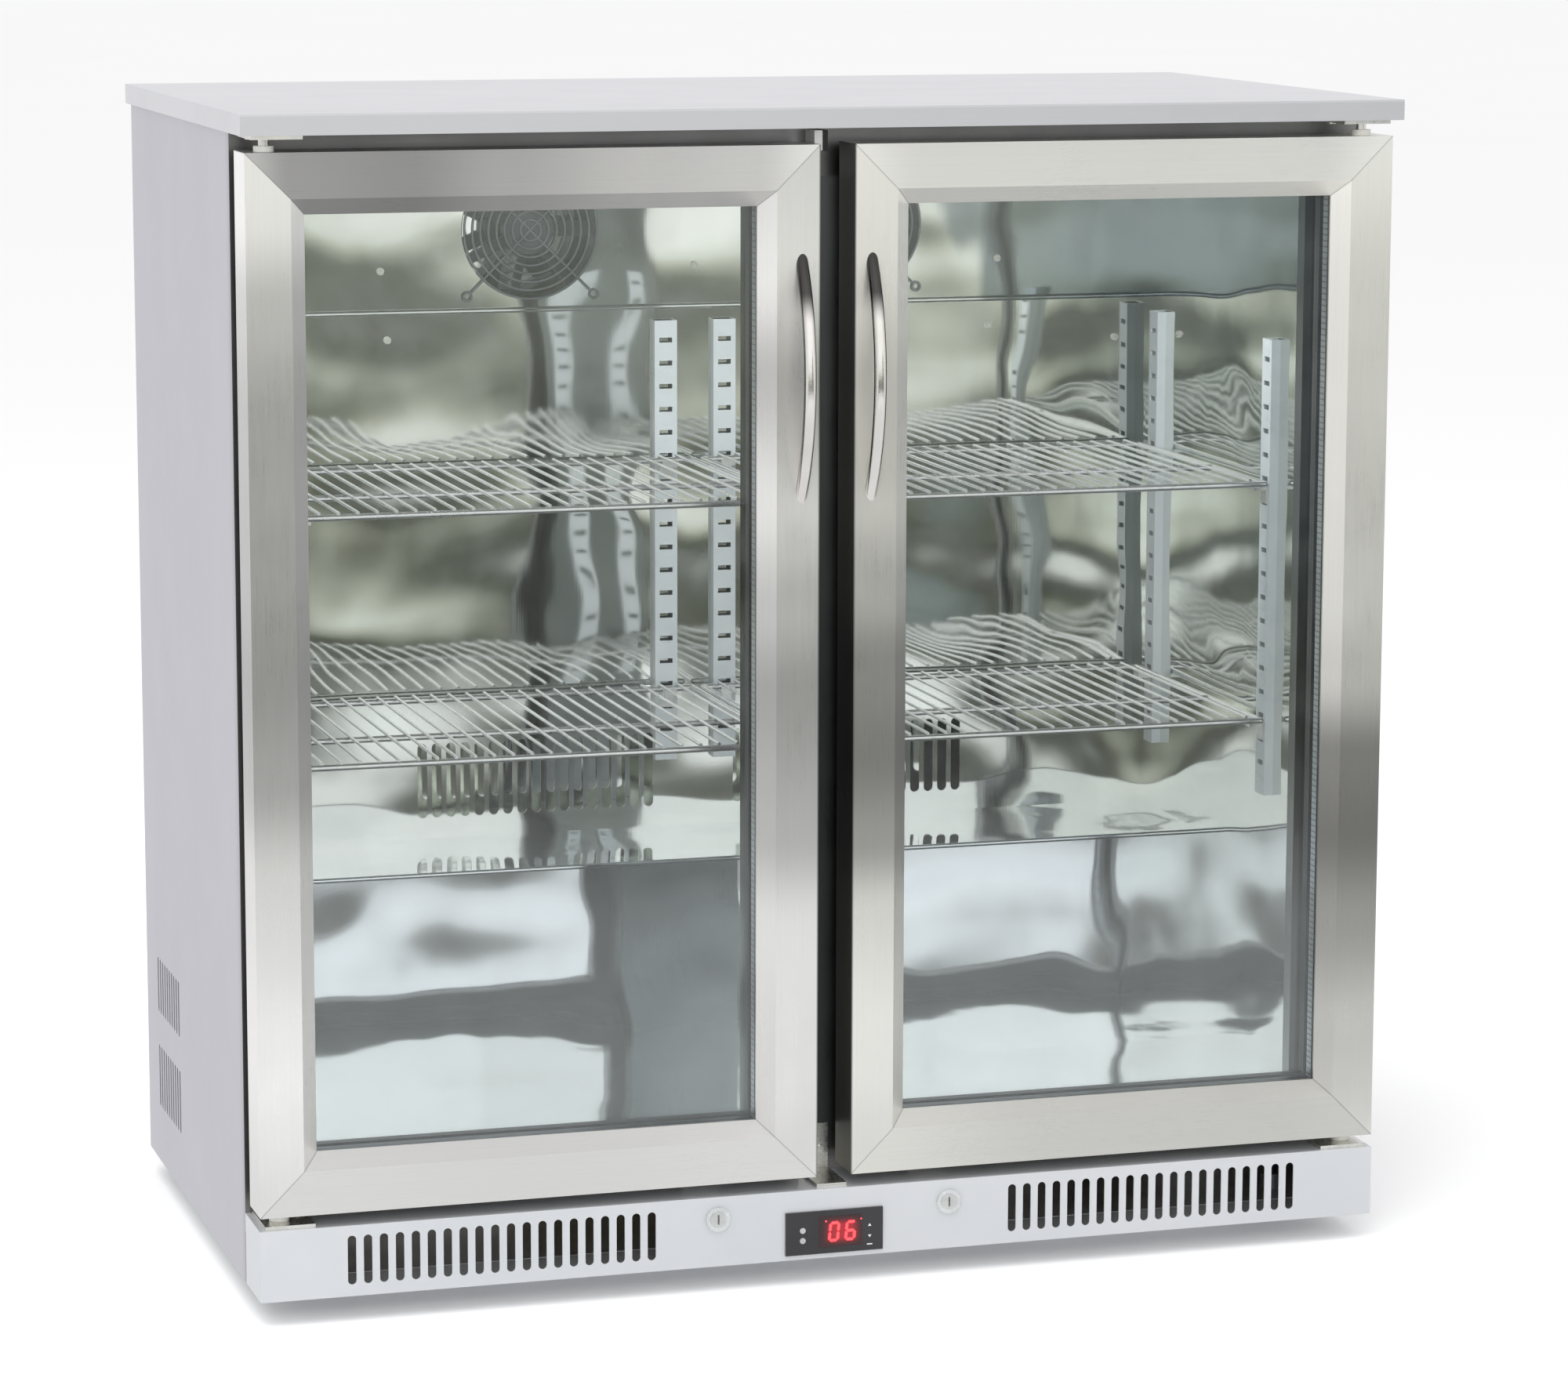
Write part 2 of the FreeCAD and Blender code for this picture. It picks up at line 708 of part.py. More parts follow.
node("evaporator_coil", finned_block(-300.0, 300.0, 178.0, 216.0, coil_low, 640.0,
                                     pitch=10.0, count=59))
node("condenser_coil", finned_block(-432.0, -378.0, 90.0, 225.0, 45.0, 190.0,
                                    pitch=6.0, count=21, along="Y"))

# ================================================================ compressor
compressor_x, compressor_y, compressor_top = 190.0, 165.0, 195.0
plate_low, plate_thick = 41.0, 4.0
# (radius, z) up the shell from its bottom centre
SHELL_PROFILE = [
    (0, 45), (52, 45), (64, 58), (66, 70), (66, 112), (70, 112), (70, 117),
    (66, 117), (66, 165), (63, 178), (55, 188), (45, 193), (40, compressor_top),
    (0, compressor_top),
]


def compressor():
    """Turned shell on a rectangular foot plate."""
    axis_low, axis_high = 40, 200
    body = new_body()
    sketch = draw(body, "XZ", compressor_y,
                  [[(compressor_x + radius, z) for radius, z in SHELL_PROFILE]])
    axis = sketch.addGeometry(Part.LineSegment(Vector(compressor_x, axis_low, 0),
                                               Vector(compressor_x, axis_high, 0)), True)
    pin_point(sketch, axis, 1, compressor_x, axis_low)
    pin_point(sketch, axis, 2, compressor_x, axis_high)
    revolve(body, sketch, "Axis0", name="compressor_shell")
    plate = draw(body, "XY", plate_low, [rect(compressor_x - 82, compressor_x + 82,
                                              compressor_y - 60, compressor_y + 60)])
    pad(body, plate, plate_thick)
    return body


node("compressor", compressor())
pan_top = dims.base_level + skin
node("compressor_grommets", group([
    cyl("Z", compressor_x + side * 72, compressor_y + end * 50, pan_top, 9.0,
        plate_low - pan_top)
    for side in SIDES for end in SIDES]))


# ================================================================ pipework, tray, wiring
def refrigerant_pipes():
    top = compressor_top
    discharge_y, discharge_x = 130.0, -405
    liquid_y, liquid_z = 240, 70
    coil_back, coil_top = 225, 190          # condenser coil
    drier_x, drier_long = -300, 100
    drier_end = drier_x + drier_long
    suction = pipe("XZ", suction_y,
                   [(compressor_x, top), (compressor_x, 218), (suction_x, 218),
                    (suction_x, coil_low)],
                   "XY", top, (compressor_x, suction_y), 4.0)
    discharge = pipe("XZ", discharge_y,
                     [(compressor_x, top), (compressor_x, 205), (discharge_x, 205),
                      (discharge_x, coil_top)],
                     "XY", top, (compressor_x, discharge_y), 3.0)
    liquid = pipe("XY", liquid_z,
                  [(discharge_x, coil_back), (discharge_x, liquid_y), (drier_x, liquid_y)],
                  "XZ", coil_back, (discharge_x, liquid_z), 2.5)
    drier = cyl("X", drier_x, liquid_y, liquid_z, 9.0, drier_long)
    capillary = pipe("XZ", liquid_y, [(drier_end, liquid_z), (-120, liquid_z), (-120, 235)],
                     "YZ", drier_end, (liquid_y, liquid_z), 1.5)
    return group([suction, discharge, liquid, drier, capillary])


def power_cord():
    """Junction box, cord and the gland at the rear panel."""
    box_right, cord_x, cord_y, cord_z = 380, 412, 125, 60
    gland_long = 14.0
    junction = box(300, box_right, 100, 150, 26, 90)
    cord = pipe("XY", cord_z, [(box_right, cord_y), (cord_x, cord_y), (cord_x, rear_mid)],
                "YZ", box_right, (cord_y, cord_z), 4.0)
    gland = cyl("Y", cord_x, rear_mid - gland_long, cord_z, 9.0, gland_long)
    return fuse([junction, cord, gland])


node("refrigerant_pipes", refrigerant_pipes())
node("condensate_tray", cut(box(-200, 40, 95, 215, 24, 50), [box(-197, 37, 98, 212, 27, 60)]))
node("power_cord", power_cord())


# ================================================================ shelf pilasters and clips
def pilaster():
    """Channel with a column of slots in its web; in its own frame the web faces -Y."""
    slot_half, slot_high, slot_pitch, slot_count = 5.5, 4, 19.0, 18
    half, deep = dims.pil_wide / 2, dims.pil_deep
    body = prism("XY", dims.pil_low, dims.pil_high, [[
        (-half, 0), (half, 0), (half, deep), (half - skin, deep), (half - skin, skin),
        (skin - half, skin), (skin - half, deep), (-half, deep)]])
    first = dims.pil_low + 24
    slot = draw(body, "XZ", -1, [rect(-slot_half, slot_half, first, first + slot_high)])
    pocket_row(body, slot, 4, slot_pitch * (slot_count - 1), slot_count, axis="V_Axis")
    return body


def clip():
    """Hooks on the web at y = 0 and reaches towards the shelf, its ledge at z = 0."""
    half, reach, ledge, thick = 6, 11.5, 3.0, 1.2
    arm = box(-half, half, -reach, 0, -ledge, 0)
    plate = box(-half, half, -thick, 0, -14.0, -ledge)
    tip = box(-half, half, -reach, thick - reach, 0, 2.5)
    return fuse([arm, plate, tip])


# (place of the web, turn about Z): on the liner back, the mullion and the two side walls
pilaster_places = []
for side in SIDES:
    near_x = side * dims.pil_x.value
    wall_x = side * (dims.open_half - dims.pil_deep).value
    pilaster_places += [
        (Vector(near_x, (dims.duct_face - dims.pil_deep).value, 0), 0),
        (Vector(near_x, (mullion_back + dims.pil_deep).value, 0), 180),
        (Vector(wall_x, dims.pil_rear_y.value, 0), -side * 90),
        (Vector(wall_x, dims.pil_front_y.value, 0), -side * 90),
    ]


def on_pilasters(item, height=0):
    lift = Vector(0, 0, height)
    return [group([item], at=Placement(place + lift, Rotation(Vector(0, 0, 1), turn)))
            for place, turn in pilaster_places]


node("shelf_pilasters", group(on_pilasters(pilaster())))
one_clip = clip()
clips = []
for level in (dims.shelf_upper, dims.shelf_lower):
    clips += on_pilasters(one_clip, (level - dims.frame_wire).value)
node("shelf_clips", group(clips))


# ================================================================ wire shelves
def shelf(level):
    """Left-hand shelf: rod frame with ball corners, a middle rail and deck wires."""
    margin, overhang, sink = 13.0, 1.5, 0.35        # of the deck wires
    x0, x1 = -dims.shelf_out, -dims.shelf_in
    y0, y1, rod = dims.shelf_front, dims.shelf_back, dims.frame_wire
    items = [cyl("X", x0, y, level, rod, x1 - x0) for y in (y0, y1)]
    items += [cyl("Y", x, y0, level, rod, y1 - y0) for x in (x0, x1)]
    items += [primitive("Sphere", "Z", x, y, level, Radius=rod)
              for x in (x0, x1) for y in (y0, y1)]
    items.append(cyl("X", x0, dims.rail_mid, level, rod, x1 - x0))
    pitch = (x1 - x0 - margin * 2) / (dims.deck_count - 1)
    deck_z = level + rod + dims.deck_wire - sink
    for k in range(int(dims.deck_count.value)):
        items.append(cyl("Y", x0 + margin + pitch * k, y0 - overhang, deck_z,
                         dims.deck_wire, y1 - y0 + overhang * 2))
    return fuse(items)


node_pair("shelf_upper", shelf(dims.shelf_upper))
node_pair("shelf_lower", shelf(dims.shelf_lower))

# ================================================================ doors (left built, right mirrored)
outer_x, inner_x = -dims.door_outer, -dims.door_inner
door_low, door_high, door_front = dims.door_low, dims.door_high, dims.front_face
door_edges = (outer_x, inner_x, door_low, door_high)
seat, flat, wide = dims.glass_seat, dims.rail_flat, dims.rail_wide
pane_back = seat + dims.pane_thick * 2 + dims.pane_gap
pivot_x, pivot_y = outer_x + dims.pivot_in, door_front + dims.pivot_deep


def inset_edges(inset):
    return outer_x + inset, inner_x - inset, door_low + inset, door_high - inset


def pivot_bores():
    deep, over = 21.0, 5
    return [cyl("Z", pivot_x, pivot_y, z, dims.bush_rad, deep + over)
            for z in (door_low - over, door_high - deep)]


def door_frame():
    """Bevelled sheet cladding and the three plates of the lock keeper."""
    back = dims.door_thick
    profile = [(0, 0), (flat, 0), (wide, dims.bevel_deep), (wide, seat), (wide - skin, seat),
               (wide - skin, dims.bevel_deep + 0.5), (flat - 0.5, skin), (skin, skin),
               (skin, back), (0, back)]
    cladding = cut(mitred_frame(profile, wide, *door_edges, door_front), pivot_bores())
    x0, x1 = -(dims.lock_x + 14), -(dims.lock_x - 16)
    front, back, thick, bend = -184, -172.5, 1.5, 95.5
    return group([cladding,
                  box(x0, x1, front, back, bend, bend + thick),
                  box(x0, x1, front, front + thick, 86, bend),
                  box(x0, x1, back - thick, back, 78, bend)])


def door_core():
    """Filling of the cladding, stepped to hold the glass."""
    step, inner, back = 36.0, 46.0, dims.door_thick
    profile = [(skin, skin), (flat - 0.5, skin), (wide - skin, dims.bevel_deep + 0.5),
               (wide - skin, seat), (step, seat), (step, pane_back), (inner, pane_back),
               (inner, back), (skin, back)]
    return cut(mitred_frame(profile, inner, *door_edges, door_front), pivot_bores())


def door_glass():
    x0, x1, z0, z1 = inset_edges(dims.glass_inset)
    return group([box(x0, x1, door_front + depth, door_front + depth + dims.pane_thick, z0, z1)
                  for depth in (seat, pane_back - dims.pane_thick)])


def glass_spacer():
    """Rectangular ring between the two panes."""
    return prism("XZ", door_front + pane_back - dims.pane_thick,
                 door_front + seat + dims.pane_thick,
                 [rect(*inset_edges(dims.glass_inset + 0.5)), rect(*inset_edges(45.0))])


def door_gasket():
    """Waisted seal between the back of the door and the front frame."""
    near, back = dims.gasket_in, dims.door_thick
    far = near + dims.gasket_wide
    seal = dims.body_face - door_front
    profile = [(near, back), (far, back), (far, back + 3), (far - 2.5, back + 5),
               (far - 4, back + 7.5), (far - 2.5, back + 10), (far - 0.5, back + 12),
               (far - 0.5, seal), (near + 0.5, seal), (near + 0.5, back + 12),
               (near + 2.5, back + 10), (near + 4, back + 7.5), (near + 2.5, back + 5),
               (near, back + 3)]
    return mitred_frame(profile, far, *door_edges, door_front)


def door_handle():
    """Bow of oval section, swept about a level axis and cut off at the door's face."""
    body = new_body()
    body.Label = "door_handle_left_body"
    sketch = new_sketch(body, "XY", dims.handle_mid)
    bind(sketch, "AttachmentOffset.Base.y", door_front - dims.bow_out + dims.bow_rad)
    oval = Part.Ellipse(Vector(-dims.handle_x.value, -dims.bow_rad.value, 0),
                        dims.grip_wide.value / 2, dims.grip_thick.value / 2)
    pin_point(sketch, sketch.addGeometry(oval, False), 3, -dims.handle_x, -dims.bow_rad)
    revolve(body, sketch, "H_Axis", angle=62.0, name="handle_bow", midplane=True)
    return cut(body, [box(-60, 0, door_front, door_front + 60, 560, 830)])


def pivot_bushes():
    """Flanged bushes in the bottom and top of the door."""
    length, flange_rad = 20.5, 7.5
    hole_rad, hole_long = dims.pin_rad + dims.run_gap, 60

    def bush(start, flange_start, flange_thick, hole_start):
        sleeve = cyl("Z", pivot_x, pivot_y, start, dims.bush_rad, length)
        flange = cyl("Z", pivot_x, pivot_y, flange_start, flange_rad, flange_thick)
        hole = cyl("Z", pivot_x, pivot_y, hole_start, hole_rad, hole_long)
        return cut(fuse([sleeve, flange]), [hole])

    flange_low = dims.plinth_level + 3.1
    return group([bush(door_low, flange_low, door_low - flange_low, dims.plinth_level),
                  bush(door_high - length, door_high, 4.0, door_high - 40)])


node_pair("door_frame", door_frame())
node_pair("door_core", door_core())
node_pair("door_glass", door_glass())
node_pair("glass_spacer", glass_spacer())
node_pair("door_gasket", door_gasket())
node_pair("door_handle", door_handle())
node_pair("pivot_bushes", pivot_bushes())

# ================================================================ hinge and centre brackets
hinge_thick, pin_reach = 3, 19.0
hinge_left, hinge_right = pivot_x - 14, pivot_x + 24
lower_hinge_top = dims.plinth_level + hinge_thick
upper_hinge_low = dims.lip_level - hinge_thick


def lower_hinge():
    plate = box(hinge_left, hinge_right, door_front + 2, dims.body_face - 3,
                dims.plinth_level, lower_hinge_top)
    pin = cyl("Z", pivot_x, pivot_y, lower_hinge_top, dims.pin_rad,
              door_low + pin_reach - lower_hinge_top)
    return fuse([plate, pin])


def upper_hinge():
    plate = box(hinge_left, hinge_right, door_front - 4, dims.body_face - 9,
                upper_hinge_low, dims.lip_level)
    pin_start = door_high - pin_reach
    pin = cyl("Z", pivot_x, pivot_y, pin_start, dims.pin_rad, upper_hinge_low - pin_start)
    return fuse([plate, pin])


def centre_bracket():
    half, upright_front = 12, dims.body_face - 2.0
    level, face = dims.plinth_level, dims.body_face
    return fuse([box(-half, half, door_front + 6, upright_front, level, level + 2.5),
                 box(-half, half, upright_front, face, level, 112.0)])


hinges = [lower_hinge(), upper_hinge()]
node("hinge_brackets", group(hinges + [mirror(hinge) for hinge in hinges] + [centre_bracket()]))


# ================================================================ cam locks
def lock_housing(x):
    lip = cyl("Y", x, door_front - 2.0, dims.lock_z, 9.6, 2.0)
    barrel = cyl("Y", x, door_front, dims.lock_z, lock_rad, 22.0)
    return cut(fuse([lip, barrel]), [cyl("Y", x, door_front - 5.0, dims.lock_z, 6.5, 40.0)])


def lock_plug(x, inward):
    """Plug with a key slot, a shank behind it and a cam reaching to the inward side."""
    z = dims.lock_z
    cam_tail, cam_half = 5, 5
    plug = cyl("Y", x, door_front - 2.4, z, 6.45, 25.4)
    shank = cyl("Y", x, door_front + 22.9, z, 3.5, 23.2)
    left, right = (cam_tail, cam_reach) if inward > 0 else (cam_reach, cam_tail)
    cam = box(x - left, x + right, cam_front, cam_back, z - cam_half, z + cam_half)
    key = box(x - 0.7, x + 0.7, door_front - 4, door_front + 4, z - 3.8, z + 3.8)
    return cut(fuse([plug, shank, cam]), [key])


node("lock_housings", group([lock_housing(-dims.lock_x), lock_housing(dims.lock_x)]))
node("lock_plug_left", lock_plug(-dims.lock_x, inward=1))
node("lock_plug_right", lock_plug(dims.lock_x, inward=-1))

# ================================================================ controller
bezel_front = door_front - 2.0
window_x0, window_x1, window_z0, window_z1 = -12.5, 22.0, 28.6, 53.2
window_front = bezel_front + 1.0
button_x, button_up_z, button_down_z = -25.6, 43.3, 35.3
button_rad, button_play = 2.3, 0.1


def controller_housing():
    """Bezel and the case behind it, with a window recess and two button holes."""
    case_deep = 48.0
    body = prism("XZ", door_front, bezel_front, [rect(-39.0, 39.0, 24.0, 57.7)])
    case = draw(body, "XZ", door_front + case_deep,
                [rect(-control_half, control_half, control_low, control_high)])
    pad(body, case, case_deep)
    recess = draw(body, "XZ", bezel_front, [rect(window_x0, window_x1, window_z0, window_z1)])
    pocket(body, recess, window_front - bezel_front)
    holes = draw(body, "XZ", bezel_front, circles=[
        (button_x, z, button_rad + button_play) for z in (button_up_z, button_down_z)])
    pocket(body, holes, 5.0)
    return body


def button(z):
    return cyl("Y", button_x, door_front - 2.6, z, button_rad, 4.6)


node("controller_housing", controller_housing())
node("display_window", box(window_x0, window_x1, door_front - 2.2, window_front,
                           window_z0, window_z1))
node("button_up", button(button_up_z))
node("button_down", button(button_down_z))

# ================================================================ levelling feet
# (radius, z) from the floor up
FOOT_PROFILE = [
    (0, 0), (16, 0), (16, 4), (13, 7), (8, 9), (8, 12), (6, 12), (6, 18),
    (dims.stem_rad, 18), (dims.stem_rad, 43), (3, 44), (0, 44),
]


def foot(x, y):
    body = new_body()
    sketch = draw(body, "XZ", y, [FOOT_PROFILE])
    bind(sketch, "AttachmentOffset.Base.x", x)
    revolve(body, sketch, "V_Axis")
    return body


for row_name, y in (("front", dims.foot_front), ("rear", dims.foot_rear)):
    node("foot_%s_left" % row_name, foot(-dims.foot_x, y))
    node("foot_%s_right" % row_name, foot(dims.foot_x, y))


# ================================================================ screws
def cabinet_screws():
    """Heads only, standing on the faces they hold."""
    heads = [cyl("Y", x, rear_out, z, 3.6, 1.6)
             for x in (-438.0, -150.0, 150.0, 438.0) for z in (252.0, 878.0, 28.0, 238.0)]
    hinge_head = 1.8
    for side in SIDES:
        for x in (pivot_x - 7.0, pivot_x + 17.0):
            for z in (lower_hinge_top, upper_hinge_low - hinge_head):
                heads.append(cyl("Z", side * x, door_front + 38, z, 3.2, hinge_head))
    for x in (-6.0, 6.0):           # centre bracket
        heads.append(cyl("Y", x, dims.body_face - 3.6, 92.0, 2.6, 1.6))
    for x in (-262.0, 0.0, 262.0):  # evaporator cover
        heads.append(cyl("Y", x, dims.cover_face - 1.5, 752.0, 3.0, 1.5))
    # liner back
    for x, z in ((-369.0, 683.0), (-256.0, 696.0), (256.0, 696.0), (369.0, 683.0)):
        heads.append(cyl("Y", x, dims.duct_face - 1.5, z, 3.0, 1.5))
    return group(heads)


node("cabinet_screws", cabinet_screws())

# ================================================================ check and write
doc.recompute()
bad = []
for obj in doc.Objects:
    if "Invalid" in obj.State or "Error" in obj.State:
        bad.append("%s (%s): %s" % (obj.Name, obj.Label, obj.State))
for name, obj in nodes.items():
    shape = obj.Shape
    if shape.isNull() or not shape.isValid() or not shape.Solids:
        bad.append("%s: shape null, not valid or without solids" % name)
if bad:
    raise RuntimeError("; ".join(bad))

os.makedirs("parts", exist_ok=True)
for name, obj in nodes.items():
    solids = obj.Shape.Solids
    result = solids[0] if len(solids) == 1 else Part.makeCompound(solids)
    result.exportStep(os.path.join("parts", name + ".step"))
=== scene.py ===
"""A two-door glass-fronted refrigerated counter with a steel worktop.

The doors face -Y, +X is to the right as seen from the front, and the floor is z = 0. Metres.
The shapes come from the CAD pieces. This script gives them materials, adds the display
digits, the controller marks and two small blocks, and sets up the floor, lights and camera.
"""
import math

import bmesh
import bpy
from mathutils import Matrix, Vector


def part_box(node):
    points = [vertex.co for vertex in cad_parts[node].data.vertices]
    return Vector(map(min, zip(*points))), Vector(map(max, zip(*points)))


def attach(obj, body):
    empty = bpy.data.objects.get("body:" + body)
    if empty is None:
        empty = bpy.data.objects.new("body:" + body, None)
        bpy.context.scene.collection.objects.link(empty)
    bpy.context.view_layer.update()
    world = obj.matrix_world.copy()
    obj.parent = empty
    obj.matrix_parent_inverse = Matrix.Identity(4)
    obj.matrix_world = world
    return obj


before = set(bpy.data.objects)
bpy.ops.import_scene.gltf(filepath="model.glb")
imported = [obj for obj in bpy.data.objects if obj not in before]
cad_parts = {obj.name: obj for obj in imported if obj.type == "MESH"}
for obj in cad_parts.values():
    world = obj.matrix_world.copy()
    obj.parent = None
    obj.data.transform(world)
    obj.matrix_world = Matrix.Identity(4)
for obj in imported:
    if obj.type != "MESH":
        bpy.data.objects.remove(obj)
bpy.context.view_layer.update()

scene = bpy.context.scene

# Door frames: distances of their upright edges from the centre plane, then bottom and top
DOOR_INNER, DOOR_OUTER = 0.0135, 0.4455
DOOR_BOTTOM, DOOR_TOP = 0.0845, 0.872

# Display: two digits either side of a centre
DISPLAY_X = 0.0062
DIGIT_PITCH = 0.0132
DIGIT_WIDTH, DIGIT_HEIGHT, BAR_THICKNESS = 0.0088, 0.0158, 0.0021
BAR_GAP = 0.00022  # cut from each end of a bar
DIGIT_LEAN = 0.09  # sideways shift per unit of height
GLOW_Z = 0.0409

# Controller marks: one column of two triangles above a bar
MARK_X = 0.0283
TRIANGLE_HALF, TRIANGLE_BASE, TRIANGLE_TIP = 0.0014, 0.0009, 0.0012
UP_MARK_Z, DOWN_MARK_Z = 0.0440, 0.0353
BAR_HALF, BAR_BOTTOM, BAR_TOP = 0.0022, 0.0283, 0.0292


# ------------------------------------------------------------------ node helpers
PRINCIPLED_INPUTS = {
    "color": "Base Color", "metal": "Metallic", "rough": "Roughness", "normal": "Normal",
    "aniso": "Anisotropic", "tangent": "Tangent", "coat": "Coat Weight",
    "coat_rough": "Coat Roughness", "emit": "Emission Color", "emit_strength": "Emission Strength",
}


class Graph:
    """Node tree of a material or world. Most methods return an output socket to pass on."""

    def __init__(self, owner, output="ShaderNodeOutputMaterial"):
        owner.use_nodes = True
        self.owner = owner
        self.tree = owner.node_tree
        self.tree.nodes.clear()
        self.output = self.node(output)
        self.object_place = None

    def node(self, kind, **props):
        made = self.tree.nodes.new(kind)
        for key, value in props.items():
            setattr(made, key, value)
        return made

    def put(self, socket, value):
        """Link a socket, or set a plain value; colours are given as RGB."""
        if isinstance(value, bpy.types.NodeSocket):
            self.tree.links.new(value, socket)
        elif socket.type == "RGBA":
            socket.default_value = tuple(value) + (1.0,)
        else:
            socket.default_value = value

    def place(self):
        """Object coordinates, from one shared node."""
        if self.object_place is None:
            self.object_place = self.node("ShaderNodeTexCoord").outputs["Object"]
        return self.object_place

    def sep(self, vector=None):
        n = self.node("ShaderNodeSeparateXYZ")
        self.put(n.inputs[0], self.place() if vector is None else vector)
        return n.outputs[0], n.outputs[1], n.outputs[2]

    def comb(self, x, y, z):
        n = self.node("ShaderNodeCombineXYZ")
        for socket, value in zip(n.inputs, (x, y, z)):
            self.put(socket, value)
        return n.outputs[0]

    def math(self, operation, *values):
        n = self.node("ShaderNodeMath", operation=operation)
        for socket, value in zip(n.inputs, values):
            self.put(socket, value)
        return n.outputs[0]

    def add(self, a, b):
        return self.math("ADD", a, b)

    def subtract(self, a, b):
        return self.math("SUBTRACT", a, b)

    def times(self, product, *factors):
        for factor in factors:
            product = self.math("MULTIPLY", product, factor)
        return product

    def distance(self, a, b):
        return self.math("ABSOLUTE", self.subtract(a, b))

    def swing(self, noise, amount):
        """Noise centred on zero and scaled."""
        return self.times(self.subtract(noise, 0.5), amount)

    def scaled(self, x, y, z):
        n = self.node("ShaderNodeVectorMath", operation="MULTIPLY")
        self.put(n.inputs[0], self.place())
        n.inputs[1].default_value = (x, y, z)
        return n.outputs[0]

    def where(self, at, stretch):
        """Texture place: a given socket, object coordinates scaled per axis, or unscaled."""
        if at is not None:
            return at
        return self.scaled(*stretch) if stretch else self.place()

    def noise(self, scale=1.0, detail=2.0, rough=0.5, distort=0.0, at=None, stretch=None):
        n = self.node("ShaderNodeTexNoise")
        self.put(n.inputs["Vector"], self.where(at, stretch))
        n.inputs["Scale"].default_value = scale
        n.inputs["Detail"].default_value = detail
        n.inputs["Roughness"].default_value = rough
        n.inputs["Distortion"].default_value = distort
        return n.outputs["Fac"]

    def voronoi(self, scale=1.0, out="Distance", rand=1.0, stretch=None):
        n = self.node("ShaderNodeTexVoronoi")
        self.put(n.inputs["Vector"], self.where(None, stretch))
        n.inputs["Scale"].default_value = scale
        n.inputs["Randomness"].default_value = rand
        return n.outputs[out]

    def ramp(self, fac, stops, interp):
        """Colour ramp; stops are (position, grey or RGB)."""
        n = self.node("ShaderNodeValToRGB")
        self.put(n.inputs[0], fac)
        n.color_ramp.interpolation = interp
        elements = n.color_ramp.elements
        while len(elements) < len(stops):
            elements.new(0.5)
        for element, (position, value) in zip(elements, stops):
            rgb = (value,) * 3 if isinstance(value, (int, float)) else value
            element.position = position
            element.color = rgb + (1.0,)
        return n.outputs["Color"]

    def span(self, value, over, to=(0.0, 1.0), smooth=False):
        """Map the range 'over' onto the range 'to', clamped."""
        n = self.node("ShaderNodeMapRange", clamp=True,
                      interpolation_type="SMOOTHSTEP" if smooth else "LINEAR")
        for i, item in enumerate((value, *over, *to)):
            self.put(n.inputs[i], item)
        return n.outputs[0]

    def mix_node(self, inputs, output, values, **props):
        n = self.node("ShaderNodeMix", **props)
        for i, value in zip(inputs, values):
            self.put(n.inputs[i], value)
        return n.outputs[output]

    def mix(self, fac, low, high, blend="MIX"):
        return self.mix_node((0, 6, 7), 2, (fac, low, high), data_type="RGBA", blend_type=blend)

    def mix_float(self, fac, low, high):
        return self.mix_node((0, 2, 3), 0, (fac, low, high), data_type="FLOAT")

    def mix_vector(self, fac, low, high):
        return self.mix_node((0, 4, 5), 1, (fac, low, high), data_type="VECTOR")

    def tint(self, level, rgb):
        """A grey level times a colour."""
        return self.mix(1.0, rgb, level, blend="MULTIPLY")

    def bump(self, height, distance, strength=1.0, under=None):
        """Bump normal, optionally laid over another one."""
        n = self.node("ShaderNodeBump")
        n.inputs["Strength"].default_value = strength
        n.inputs["Distance"].default_value = distance
        self.put(n.inputs["Height"], height)
        if under is not None:
            self.put(n.inputs["Normal"], under)
        return n.outputs[0]

    def mix_shader(self, fac, first, second):
        n = self.node("ShaderNodeMixShader")
        for socket, value in zip(n.inputs, (fac, first, second)):
            self.put(socket, value)
        return n.outputs[0]

    def done(self, shader):
        self.put(self.output.inputs["Surface"], shader)
        return self.owner

    def principled(self, **inputs):
        """Finish with a Principled shader and return the material."""
        n = self.node("ShaderNodeBsdfPrincipled")
        for key, value in inputs.items():
            self.put(n.inputs[PRINCIPLED_INPUTS[key]], value)
        return self.done(n.outputs[0])


def new_material(name):
    return Graph(bpy.data.materials.new(name))


# ------------------------------------------------------------------ brushed steel
# Texture scales (along the brushing, across it)
FINE_BRUSHING = (26.0, 2400.0)
COARSE_BRUSHING = (3.0, 620.0)
# Per grain axis: scales of the slow bands, and the tangent
BANDS_AND_TANGENT = {"x": ((0.8, 9.0), (0, 0.7, 1)), "z": ((0.5, 9.0), (1, 0.7, 0))}


def along(m, grain, scales):
    slow, fast = scales
    return m.scaled(*(slow if axis == grain else fast for axis in "xyz"))


